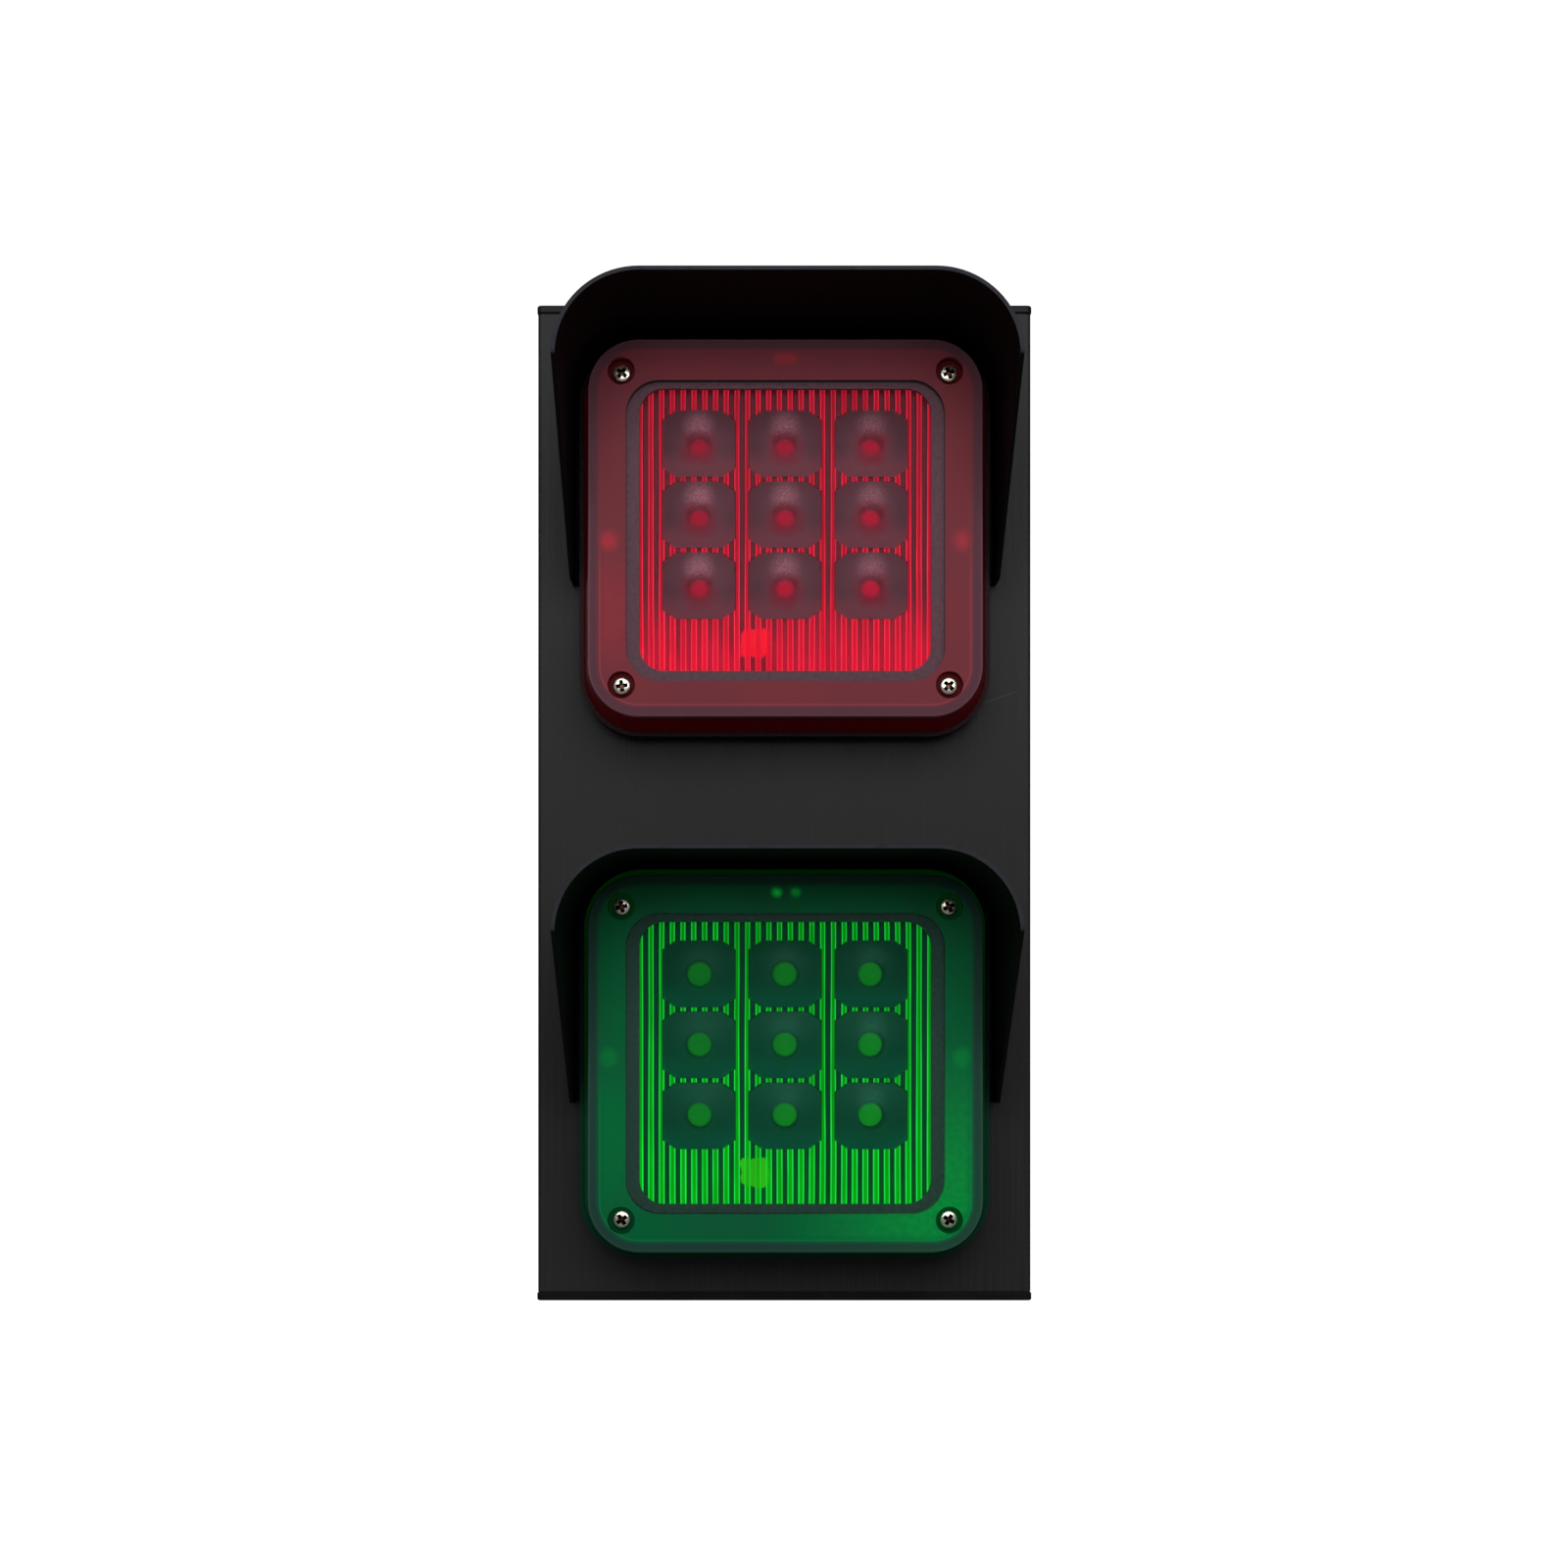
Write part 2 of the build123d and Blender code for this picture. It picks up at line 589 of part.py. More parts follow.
def gland_clamp_nut():
    start = REAR_Y + 6.5
    end = REAR_Y + 22
    shell = extrude(gland_plane(start) * RegularPolygon(GLAND_FLATS / 2, 6, major_radius=False), 9)
    shell += rear_tube(11.4, start + 9, end)
    shell = fillet(shell.edges().filter_by(GeomType.CIRCLE).group_by(Axis.Y)[-1], 4)
    shell -= rear_tube(GLAND_NECK + FIT / 2, start, REAR_Y + 16.2)
    shell -= rear_tube(GLAND_BORE + 0.1, start, REAR_Y + 18.2)
    return shell - rear_tube(5.5, start, end)


# ---- tilting bracket ----
def bracket_ear(root_y, root_half, radius, x_start, thickness):
    """One ear of a U bracket: a tapered cheek with a round end on the pivot axis."""
    half = 0.98 * radius
    face = Plane.YZ.offset(x_start)
    corners = ((root_y, -root_half), (root_y, root_half), (PIVOT_Y, half), (PIVOT_Y, -half))
    cheek = extrude(face * Polygon(*corners, align=None), thickness, dir=(1, 0, 0))
    return cheek + extrude(face * Pos(PIVOT_Y, 0) * Circle(radius), thickness)


def fold_edges(plate, y, half_width):
    """The upright outer edges where a U bracket's ears are folded from its plate."""
    return [
        edge for edge in plate.edges().filter_by(Axis.Z)
        if abs(edge.center().Y - y) < 0.01 and abs(abs(edge.center().X) - half_width) < 0.01
    ]


def pivot_hole(radius):
    """A cutter for the pivot holes of both ears."""
    return Pos(0, PIVOT_Y, 0) * Rot(0, 90, 0) * Cylinder(radius, 3 * WALL_HALF_WIDTH)


def wall_bracket():
    """A folded steel U: a back plate with four wall holes and two ears."""
    back = Plane.XZ
    plate = extrude(back * RectangleRounded(72, 110, 8), WALL_SHEET)
    plate += Pos(0, -WALL_SHEET / 2, 0) * Box(2 * WALL_HALF_WIDTH, WALL_SHEET, 44)
    for x_start in (-WALL_HALF_WIDTH, WALL_HALF_WIDTH - WALL_SHEET):
        plate += bracket_ear(0, 22, 12, x_start, WALL_SHEET)
    plate = fillet(fold_edges(plate, 0, WALL_HALF_WIDTH), WALL_SHEET - 0.5)
    for x, z in four_corners(WALL_HOLE_X, WALL_HOLE_Z):
        plate -= extrude(back * Pos(x, z) * Circle(WALL_HOLE_RADIUS), WALL_SHEET)
    return plate - pivot_hole(PIVOT_RADIUS + 0.2)


def tilt_yoke():
    """A folded steel U on the housing's rear, whose ears swing inside the wall bracket's."""
    face = Plane.XZ.offset(-REAR_Y - YOKE_SHEET)
    plate = extrude(face * RectangleRounded(2 * YOKE_HALF_WIDTH - 6, 60, 5), YOKE_SHEET)
    plate += Pos(0, REAR_Y + YOKE_SHEET / 2, 0) * Box(2 * YOKE_HALF_WIDTH, YOKE_SHEET, 36)
    for x_start in (-YOKE_HALF_WIDTH, YOKE_HALF_WIDTH - YOKE_SHEET):
        plate += bracket_ear(REAR_Y, 18, 11, x_start, YOKE_SHEET)
    plate = fillet(fold_edges(plate, REAR_Y, YOKE_HALF_WIDTH), YOKE_SHEET - 0.5)
    for x, z in four_corners(YOKE_SCREW_X, YOKE_SCREW_Z):
        plate -= extrude(face * Pos(x, z) * Circle(2.7), YOKE_SHEET)
    return plate - pivot_hole(PIVOT_RADIUS + PIVOT_CLEARANCE)


def yoke_screws():
    seat = Plane((0, REAR_Y + YOKE_SHEET, 0), x_dir=(-1, 0, 0), z_dir=(0, 1, 0))
    return Compound([
        pan_screw(seat * Pos(x, z), M5, 12.0) for x, z in four_corners(YOKE_SCREW_X, YOKE_SCREW_Z)
    ])


def yoke_nuts():
    seat = Plane.XZ.offset(HOUSING_WALL - REAR_Y)
    return Compound([
        hexagon_nut(seat * Pos(x, z), 8, 4, M5[2] + FIT / 2)
        for x, z in four_corners(YOKE_SCREW_X, YOKE_SCREW_Z)
    ])


def on_both_sides(build):
    """The same piece on the right and on the left of the bracket."""
    return Compound([build(1), build(-1)])


def pivot_bolt(side):
    length = 16.0
    seat = side_plane(side * (WALL_HALF_WIDTH + PIVOT_WASHER), side)
    hexagon = extrude(RegularPolygon(5, 6, major_radius=False), 4)
    head = chamfer(hexagon.edges().group_by(Axis.Z)[-1], 0.4)
    return seat * (head + Pos(0, 0, -length / 2) * Cylinder(PIVOT_RADIUS, length))


def pivot_washer(side):
    seat = side_plane(side * WALL_HALF_WIDTH, side)
    return seat * extrude(Circle(6) - Circle(PIVOT_RADIUS + 0.2), PIVOT_WASHER)


def friction_washer(side):
    seat = side_plane(side * YOKE_HALF_WIDTH, side)
    thickness = WALL_HALF_WIDTH - WALL_SHEET - YOKE_HALF_WIDTH
    return seat * extrude(Circle(9) - Circle(PIVOT_RADIUS + 0.1), thickness)


def pivot_nut(side):
    seat = side_plane(side * (YOKE_HALF_WIDTH - YOKE_SHEET), -side)
    return hexagon_nut(seat, 10, 6, PIVOT_RADIUS + FIT / 2)


# ---- write one file for each node ----
def module_nodes():
    """Every node of both signal modules, named by colour."""
    makers = {
        "visor": visor,
        "base_gasket": base_gasket,
        "base": base,
        "base_screws": base_screws,
        "led_board": led_board,
        "board_screws": board_screws,
        "leds": leds,
        "lens_blocks": lens_blocks,
        "ribbed_optic": ribbed_optic,
        "mask_frame": mask_frame,
        "cover_seal": cover_seal,
        "lens_cover": lens_cover,
        "cover_screws": cover_screws,
        "board_plug": board_plug,
    }
    nodes = {}
    for name, z in MODULE_CENTRES.items():
        for part, make in makers.items():
            nodes[f"{name}_{part}"] = make(z)
    return nodes


def body_nodes():
    """Every node of the housing, its ends, its gland and its driver."""
    nodes = {"housing_profile": housing_profile()}
    for name, end in (("top", 1), ("bottom", -1)):
        nodes[f"{name}_cap"] = cap(end)
        nodes[f"{name}_cap_gasket"] = cap_gasket(end)
        nodes[f"{name}_cap_screws"] = cap_screws(end)
    nodes["driver_board"] = driver_board()
    nodes["transformer"] = transformer()
    nodes["capacitors"] = capacitors()
    nodes["terminal_block"] = terminal_block()
    nodes["terminal_screws"] = terminal_screws()
    nodes["lead_sockets"] = lead_sockets()
    for name in MODULE_CENTRES:
        nodes[f"{name}_lead"] = module_lead(name)
    nodes["gland_body"] = gland_body()
    nodes["gland_locknut"] = gland_locknut()
    nodes["gland_seal"] = gland_seal()
    nodes["gland_clamp_nut"] = gland_clamp_nut()
    return nodes


def bracket_nodes():
    """Every node of the tilting bracket."""
    return {
        "wall_bracket": wall_bracket(),
        "tilt_yoke": tilt_yoke(),
        "yoke_screws": yoke_screws(),
        "yoke_nuts": yoke_nuts(),
        "pivot_bolts": on_both_sides(pivot_bolt),
        "pivot_washers": on_both_sides(pivot_washer),
        "friction_washers": on_both_sides(friction_washer),
        "pivot_nuts": on_both_sides(pivot_nut),
    }


os.makedirs("parts", exist_ok=True)
for node, shape in {**body_nodes(), **module_nodes(), **bracket_nodes()}.items():
    export_step(shape, f"parts/{node}.step")
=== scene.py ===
import json
import math

import bmesh
import bpy
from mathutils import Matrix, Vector


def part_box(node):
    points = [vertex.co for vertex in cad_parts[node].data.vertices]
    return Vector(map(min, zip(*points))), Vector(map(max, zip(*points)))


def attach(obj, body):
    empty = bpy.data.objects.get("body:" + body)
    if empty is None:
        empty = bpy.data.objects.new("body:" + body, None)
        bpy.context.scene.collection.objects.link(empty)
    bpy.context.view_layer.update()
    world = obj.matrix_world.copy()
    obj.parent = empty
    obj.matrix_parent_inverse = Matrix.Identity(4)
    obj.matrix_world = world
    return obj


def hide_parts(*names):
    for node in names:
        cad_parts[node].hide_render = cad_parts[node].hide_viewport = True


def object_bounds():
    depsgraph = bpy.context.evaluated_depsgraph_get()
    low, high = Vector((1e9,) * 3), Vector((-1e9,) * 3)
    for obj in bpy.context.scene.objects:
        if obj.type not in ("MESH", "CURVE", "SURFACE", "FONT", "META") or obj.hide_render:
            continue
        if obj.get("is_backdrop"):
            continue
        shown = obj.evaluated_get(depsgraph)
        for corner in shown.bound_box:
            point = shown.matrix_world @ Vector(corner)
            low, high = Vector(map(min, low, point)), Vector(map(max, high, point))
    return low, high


# Looks for a two-aspect pedestrian light: finishes in object coordinates (metres), rounded copies of the
# outer pieces, cover screws with cross recesses, and a plain studio.

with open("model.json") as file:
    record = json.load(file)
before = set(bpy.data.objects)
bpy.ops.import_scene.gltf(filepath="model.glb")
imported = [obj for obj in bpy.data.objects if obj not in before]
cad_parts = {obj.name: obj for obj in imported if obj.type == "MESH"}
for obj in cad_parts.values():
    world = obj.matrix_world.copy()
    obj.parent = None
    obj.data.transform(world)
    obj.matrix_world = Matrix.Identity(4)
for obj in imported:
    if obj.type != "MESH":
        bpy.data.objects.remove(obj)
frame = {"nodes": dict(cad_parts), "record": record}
cad_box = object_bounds()

# ---- places and sizes (metres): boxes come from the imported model, the rest repeat the part's own ----
MM = 0.001
FRONT_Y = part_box("housing_profile")[0][1]
COLOURS = ("red", "green")
CENTRE = {}
for colour in COLOURS:
    low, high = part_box(f"{colour}_lens_cover")
    CENTRE[colour] = (Vector(low) + Vector(high)) / 2
COVER_SIZE = Vector(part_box("red_lens_cover")[1]) - Vector(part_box("red_lens_cover")[0])
FRAME_SIZE = Vector(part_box("red_mask_frame")[1]) - Vector(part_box("red_mask_frame")[0])
FACE_INSET = 4.1 * MM
FACE_DEPTH = 25.4 * MM
GROOVE_DEPTH = 24.4 * MM
FOOT_DEPTH = 9.2 * MM
COVER_CORNER = 15.9 * MM
FRAME_CORNER = 11.0 * MM
RIB_PITCH = 3.38 * MM
LED_PITCH_X = 27.2 * MM
LED_PITCH_Z = 22.4 * MM
LED_RAISED = 5.6 * MM
PILOT = (-9.6 * MM, -34.8 * MM)
# The camera stands below the red module and sees its mask frame lower behind the front plate, so that
# plate's clear window is set lower to show an even ring. This suits the photograph's view only.
WINDOW_DROP = {"red": 0.8 * MM, "green": 0.0}
SCREW_HEAD = 2.8 * MM
SCREW_HEIGHT = 2.2 * MM
SCREW_SHANK = 1.5 * MM
SCREW_ROUNDING = 0.06 * MM
CROWN_SHARE = 0.3
RECESS_SPAN = 3.7 * MM
RECESS_WIDTH = 1.25 * MM
RECESS_FLOOR = 0.4 * MM
SCRATCH_SLOPE = 0.342
SCRATCH_HEIGHT = 0.0107

BEVEL_ANGLE = math.radians(35)
SMOOTH_ANGLE = math.radians(40)


# ---- node helpers ----
class Finish:
    """A material's node tree, with short calls for the nodes that the finishes share."""

    def __init__(self, name):
        self.material = bpy.data.materials.new(name)
        self.material.use_nodes = True
        self.tree = self.material.node_tree
        self.tree.nodes.clear()
        self.output = self.tree.nodes.new("ShaderNodeOutputMaterial")
        self.place = self.add("ShaderNodeTexCoord").outputs["Object"]
        self.axes = self.add("ShaderNodeSeparateXYZ", self.place).outputs

    def add(self, kind, *inputs, **settings):
        """A new node: plain values and sockets fill its inputs in order, settings are its properties."""
        node = self.tree.nodes.new(kind)
        for key, value in settings.items():
            setattr(node, key, value)
        for socket, value in zip(node.inputs, inputs):
            self.feed(socket, value)
        return node

    def feed(self, socket, value):
        if value is None:
            return
        if isinstance(value, bpy.types.NodeSocket):
            self.tree.links.new(value, socket)
        else:
            socket.default_value = value

    def maths(self, operation, *values, clamp=False):
        return self.add("ShaderNodeMath", *values, operation=operation, use_clamp=clamp).outputs[0]

    def noise(self, scale, detail=3.0, stretch=(1, 1, 1), roughness=0.55):
        """Noise with its size in features per metre, drawn out along an axis by stretch."""
        mapping = self.add("ShaderNodeMapping", self.place)
        mapping.inputs["Scale"].default_value = stretch
        node = self.add("ShaderNodeTexNoise")
        self.feed(node.inputs["Vector"], mapping.outputs[0])
        node.inputs["Scale"].default_value = scale
        node.inputs["Detail"].default_value = detail
        node.inputs["Roughness"].default_value = roughness
        return node.outputs["Fac"]

    def fade(self, value, start, end, low=0.0, high=1.0):
        """A smooth step from low to high as the value goes from start to end."""
        node = self.add("ShaderNodeMapRange", interpolation_type="SMOOTHSTEP")
        numbers = {"Value": value, "From Min": start, "From Max": end, "To Min": low, "To Max": high}
        for key, number in numbers.items():
            self.feed(node.inputs[key], number)
        return node.outputs["Result"]

    def blend(self, amount, first, second):
        """Two colours mixed by an amount."""
        node = self.add("ShaderNodeMix", data_type="RGBA")
        self.feed(node.inputs["Factor"], amount)
        self.feed(node.inputs["A"], rgba(first))
        self.feed(node.inputs["B"], rgba(second))
        return node.outputs["Result"]

    def length(self, across, along, power=2.0):
        """The distance from two offsets; a higher power makes its circles squarer."""
        parts = [self.maths("POWER", self.maths("ABSOLUTE", side), power) for side in (across, along)]
        return self.maths("POWER", self.maths("ADD", *parts), 1 / power)

    def mix(self, amount, first, second):
        """Two shaders mixed by an amount and joined to the output."""
        node = self.add("ShaderNodeMixShader", amount, first.outputs[0], second.outputs[0])
        self.tree.links.new(node.outputs[0], self.output.inputs["Surface"])

    def bump(self, height, strength, distance):
        node = self.add("ShaderNodeBump")
        node.inputs["Strength"].default_value = strength
        node.inputs["Distance"].default_value = distance
        self.feed(node.inputs["Height"], height)
        return node.outputs["Normal"]

    def surface(self, colour, roughness, metallic=0.0, specular=0.5, normal=None, **extra):
        """A Principled surface joined to the output."""
        node = self.add("ShaderNodeBsdfPrincipled")
        self.feed(node.inputs["Base Color"], rgba(colour))
        self.feed(node.inputs["Roughness"], roughness)
        self.feed(node.inputs["Metallic"], metallic)
        self.feed(node.inputs["Specular IOR Level"], specular)
        self.feed(node.inputs["Normal"], normal)
        for key, value in extra.items():
            self.feed(node.inputs[key.replace("_", " ").title()], rgba(value))
        self.tree.links.new(node.outputs[0], self.output.inputs["Surface"])
        return node


def rgba(value):
    """A colour tuple with its alpha, or a socket as it is."""
    return (*value, 1.0) if isinstance(value, tuple) and len(value) == 3 else value


# ---- finishes ----
def anodised_housing():
    """Black anodised aluminium with fine upright grain, soft blotches and a hairline scratch."""
    f = Finish("anodised_housing")
    grain = f.noise(1.0, 4, (1500, 1500, 14), 0.6)
    blotch = f.noise(14.0, 3)
    tone = f.blend(f.fade(grain, 0.3, 0.7), (0.0145, 0.0145, 0.0148), (0.0215, 0.0215, 0.0215))
    tone = f.blend(f.maths("MULTIPLY", f.fade(blotch, 0.35, 0.7), 0.35), tone, (0.026, 0.026, 0.0265))
    rise = f.maths("ADD", f.maths("MULTIPLY", f.axes["X"], SCRATCH_SLOPE), SCRATCH_HEIGHT)
    waver = f.maths("MULTIPLY", f.noise(60.0, 2), 0.001)
    off_line = f.maths("ABSOLUTE", f.maths("SUBTRACT", f.maths("ADD", f.axes["Z"], waver), rise))
    start = f.fade(f.axes["X"], 0.062, 0.066)
    ends = f.maths("MULTIPLY", start, f.fade(f.axes["X"], 0.073, 0.077, 1.0, 0.0))
    front = f.fade(depth_of(f), -0.2 * MM, -0.1 * MM)
    on_line = f.fade(off_line, 0.05 * MM, 0.2 * MM, 1.0, 0.0)
    scratch = f.maths("MULTIPLY", f.maths("MULTIPLY", ends, front), on_line)
    tone = f.blend(f.maths("MULTIPLY", scratch, 0.7), tone, (0.07, 0.07, 0.07))
    roughness = f.fade(grain, 0.25, 0.75, 0.42, 0.56)
    f.surface(tone, roughness, 0.0, 0.15, f.bump(grain, 0.12, 0.00006))
    return f.material


def satin_black(name, colour, roughness, grain=2400.0, depth=0.00004, specular=0.4):
    """A dark moulded or coated surface with fine orange-peel texture."""
    f = Finish(name)
    texture = f.noise(grain, 4)
    dust = f.noise(60.0, 5)
    lighter = tuple(channel * 1.7 + 0.002 for channel in colour)
    tone = f.blend(f.fade(dust, 0.45, 0.75, 0.0, 0.6), colour, lighter)
    f.surface(tone, f.fade(texture, 0.3, 0.7, roughness - 0.07, roughness + 0.07), 0.0, specular,
              f.bump(texture, 0.25, depth))
    return f.material


def visor_coat():
    """Matt black powder coat; its front edge is lighter, partly from wear and partly a painted highlight.
    """
    f = Finish("visor_coat")
    texture = f.noise(2600.0, 4)
    wear = f.noise(220.0, 5)
    normal = f.add("ShaderNodeNewGeometry").outputs["True Normal"]
    facing = f.add("ShaderNodeSeparateXYZ", normal).outputs["Y"]
    # The sheet's front edge is painted lighter: a painted highlight, broken up by wear.
    edge = f.maths("MULTIPLY", f.fade(facing, -0.7, -0.9), f.fade(depth_of(f), 70 * MM, 75 * MM))
    edge = f.maths("MULTIPLY", edge, f.fade(wear, 0.2, 0.5, 0.65, 1.0))
    tone = f.blend(edge, (0.0020, 0.0018, 0.0021), (0.030, 0.030, 0.038))
    f.surface(tone, f.fade(texture, 0.3, 0.7, 0.6, 0.75), 0.0, 0.06, f.bump(texture, 0.3, 0.00004))
    return f.material


def bare_metal(name, colour, roughness, grain_stretch=(1, 1, 1), grain=1800.0):
    """Plated metal with fine turning marks and a little tarnish."""
    f = Finish(name)
    marks = f.noise(grain, 4, grain_stretch)
    tarnish = f.noise(300.0, 4)
    darker = tuple(channel * 0.55 for channel in colour)
    tone = f.blend(f.fade(tarnish, 0.5, 0.75, 0.0, 0.7), colour, darker)
    f.surface(tone, f.fade(marks, 0.3, 0.7, roughness - 0.06, roughness + 0.08), 1.0, 0.5,
              f.bump(marks, 0.2, 0.00003))
    return f.material


def plated_screw():
    """Bright nickel; oxide and painted shade in the cover screws' recesses, with bronze at their bottoms.
    """
    f = Finish("nickel_steel")
    low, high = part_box("red_cover_screws")
    middle = CENTRE["red"]
    across = f.maths("SUBTRACT", f.maths("ABSOLUTE", f.axes["X"]), high[0] - SCREW_HEAD)
    along = f.maths("ABSOLUTE", f.maths("SUBTRACT", f.maths("ABSOLUTE", f.axes["Z"]), middle.z))
    along = f.maths("SUBTRACT", along, high[2] - SCREW_HEAD - middle.z)
    reach = f.length(across, along)
    below_top = f.maths("SUBTRACT", f.axes["Y"], low[1])
    share = f.maths("POWER", f.maths("DIVIDE", reach, SCREW_HEAD), 2.0)
    slope = f.maths("SQRT", f.maths("SUBTRACT", 1.0, share))
    crown = f.maths("MULTIPLY", f.maths("SUBTRACT", 1.0, slope), CROWN_SHARE * SCREW_HEIGHT)
    sunk = f.fade(f.maths("SUBTRACT", below_top, crown), 0.06 * MM, 0.30 * MM)
    inside = f.fade(reach, SCREW_HEAD - 0.6 * MM, SCREW_HEAD - 0.4 * MM, 1.0, 0.0)
    recess = f.maths("MULTIPLY", sunk, inside)
    in_head = f.fade(below_top, SCREW_HEIGHT, SCREW_HEIGHT + 0.1 * MM, 1.0, 0.0)
    recess = f.maths("MULTIPLY", recess, in_head)
    marks = f.noise(1800.0, 4)
    tarnish = f.fade(f.noise(300.0, 4), 0.5, 0.75, 0.0, 0.6)
    tone = f.blend(tarnish, (0.80, 0.76, 0.68), (0.45, 0.41, 0.34))
    # Painted shade in the cross recesses, with oxide: bronze near each screw's axis, near black further
    # out.
    dark = f.blend(f.fade(reach, 0.2 * MM, 0.9 * MM), (0.09, 0.045, 0.02), (0.008, 0.005, 0.004))
    tone = f.blend(recess, tone, dark)
    f.surface(tone, f.fade(marks, 0.3, 0.7, 0.22, 0.36), 1.0, 0.5, f.bump(marks, 0.15, 0.00003))
    return f.material


def board_mask(name, colour):
    """Solder mask with faint copper tracks under it."""
    f = Finish(name)
    tracks = f.add("ShaderNodeTexBrick", f.place)
    tracks.inputs["Scale"].default_value = 160.0
    tracks.inputs["Mortar Size"].default_value = 0.03
    lighter = tuple(min(1.0, channel * 1.35 + 0.01) for channel in colour)
    tone = f.blend(f.maths("MULTIPLY", tracks.outputs["Fac"], 0.5), colour, lighter)
    f.surface(tone, f.fade(f.noise(900.0), 0.3, 0.7, 0.3, 0.45), 0.0, 0.5,
              f.bump(tracks.outputs["Fac"], 0.2, 0.00003))
    return f.material


def moulded(name, colour, roughness=0.5, mottle=90.0):
    """Plain moulded plastic with a fine spark-eroded texture and slight tone changes."""
    f = Finish(name)
    texture = f.noise(3000.0, 3)
    darker = tuple(channel * 0.7 for channel in colour)
    tone = f.blend(f.fade(f.noise(mottle), 0.35, 0.7, 0.0, 0.8), colour, darker)
    f.surface(tone, f.fade(texture, 0.3, 0.7, roughness - 0.06, roughness + 0.06), 0.0, 0.45,
              f.bump(texture, 0.2, 0.00003))
    return f.material


def depth_of(f):
    """How far a point stands in front of the housing's front face."""
    return f.maths("SUBTRACT", FRONT_Y, f.axes["Y"])


def beyond_outline(f, colour, width, tall, corner, drop=0.0):
    """Distance outside a rounded rectangle set about a module's centre or below it; negative inside it."""
    across, along = from_centre(f, colour, 0.0, -drop)
    over_x = f.maths("SUBTRACT", f.maths("ABSOLUTE", across), width / 2 - corner)
    over_z = f.maths("SUBTRACT", f.maths("ABSOLUTE", along), tall / 2 - corner)
    length = f.length(f.maths("MAXIMUM", over_x, 0.0), f.maths("MAXIMUM", over_z, 0.0))
    within = f.maths("MINIMUM", f.maths("MAXIMUM", over_x, over_z), 0.0)
    return f.maths("SUBTRACT", f.maths("ADD", length, within), corner)


def from_centre(f, colour, x=0.0, z=0.0):
    """How far a point is across and up from a place on a module's front."""
    centre = CENTRE[colour]
    across = f.maths("SUBTRACT", f.axes["X"], centre.x + x)
    return across, f.maths("SUBTRACT", f.axes["Z"], centre.z + z)


def spot(f, colour, x, z, radius, core=0.0):
    """A soft round spot about a place on a module's front."""
    return f.fade(f.length(*from_centre(f, colour, x, z)), core, radius, 1.0, 0.0)


# The foot's lighter edge tone in these tables is painted light on the foot's outer edge.
COVER_TONES = {
    "red": {
        "margin": (0.215, 0.036, 0.048),
        "rim": (0.10, 0.040, 0.056),
        "wall": (0.05, 0.0006, 0.001),
        "foot": (0.016, 0.006, 0.008),
        "lit_foot_edge": (0.030, 0.010, 0.012),
        "tint": (0.97, 0.83, 0.87),
        "haze": (0.10, 0.07, 0.08),
        "glow": (0.45, 0.0, 0.012),
    },
    "green": {
        "margin": (0.0, 0.148, 0.046),
        "rim": (0.018, 0.050, 0.044),
        "wall": (0.0006, 0.050, 0.018),
        "foot": (0.003, 0.010, 0.008),
        "lit_foot_edge": (0.002, 0.050, 0.028),
        "tint": (0.70, 0.88, 0.82),
        "haze": (0.05, 0.09, 0.075),
        "glow": (0.0, 0.35, 0.02),
    },
}
# Light that leaks into a cover's margin: place on the module's front, core, reach (mm) and strength.
LEAKS = {
    "red": [
        (-55.4, -4.0, 0.5, 4.8, 0.42),
        (55.4, -4.0, 0.5, 4.8, 0.36),
        (-1.7, 53.0, 0.8, 3.0, 0.13),
        (1.7, 53.0, 0.8, 3.0, 0.13),
        (-58.0, -26.0, 4.0, 22.0, 0.14),
    ],
    "green": [
        (-55.4, 2.0, 1.8, 4.2, 0.13),
        (55.4, 2.0, 1.8, 4.2, 0.15),
        (-2.7, 53.5, 0.3, 2.4, 0.50),
        (3.2, 53.5, 0.3, 2.4, 0.30),
        (54.0, -48.0, 6.0, 62.0, 0.38),
        (-58.0, -25.0, 4.0, 30.0, 0.07),
    ],
}


def face_edge(f, colour):
    """Distance from the edge of a cover's front plate; negative on the plate."""
    inset = 2 * FACE_INSET
    return beyond_outline(f, colour, COVER_SIZE.x - inset, COVER_SIZE.z - inset, COVER_CORNER)


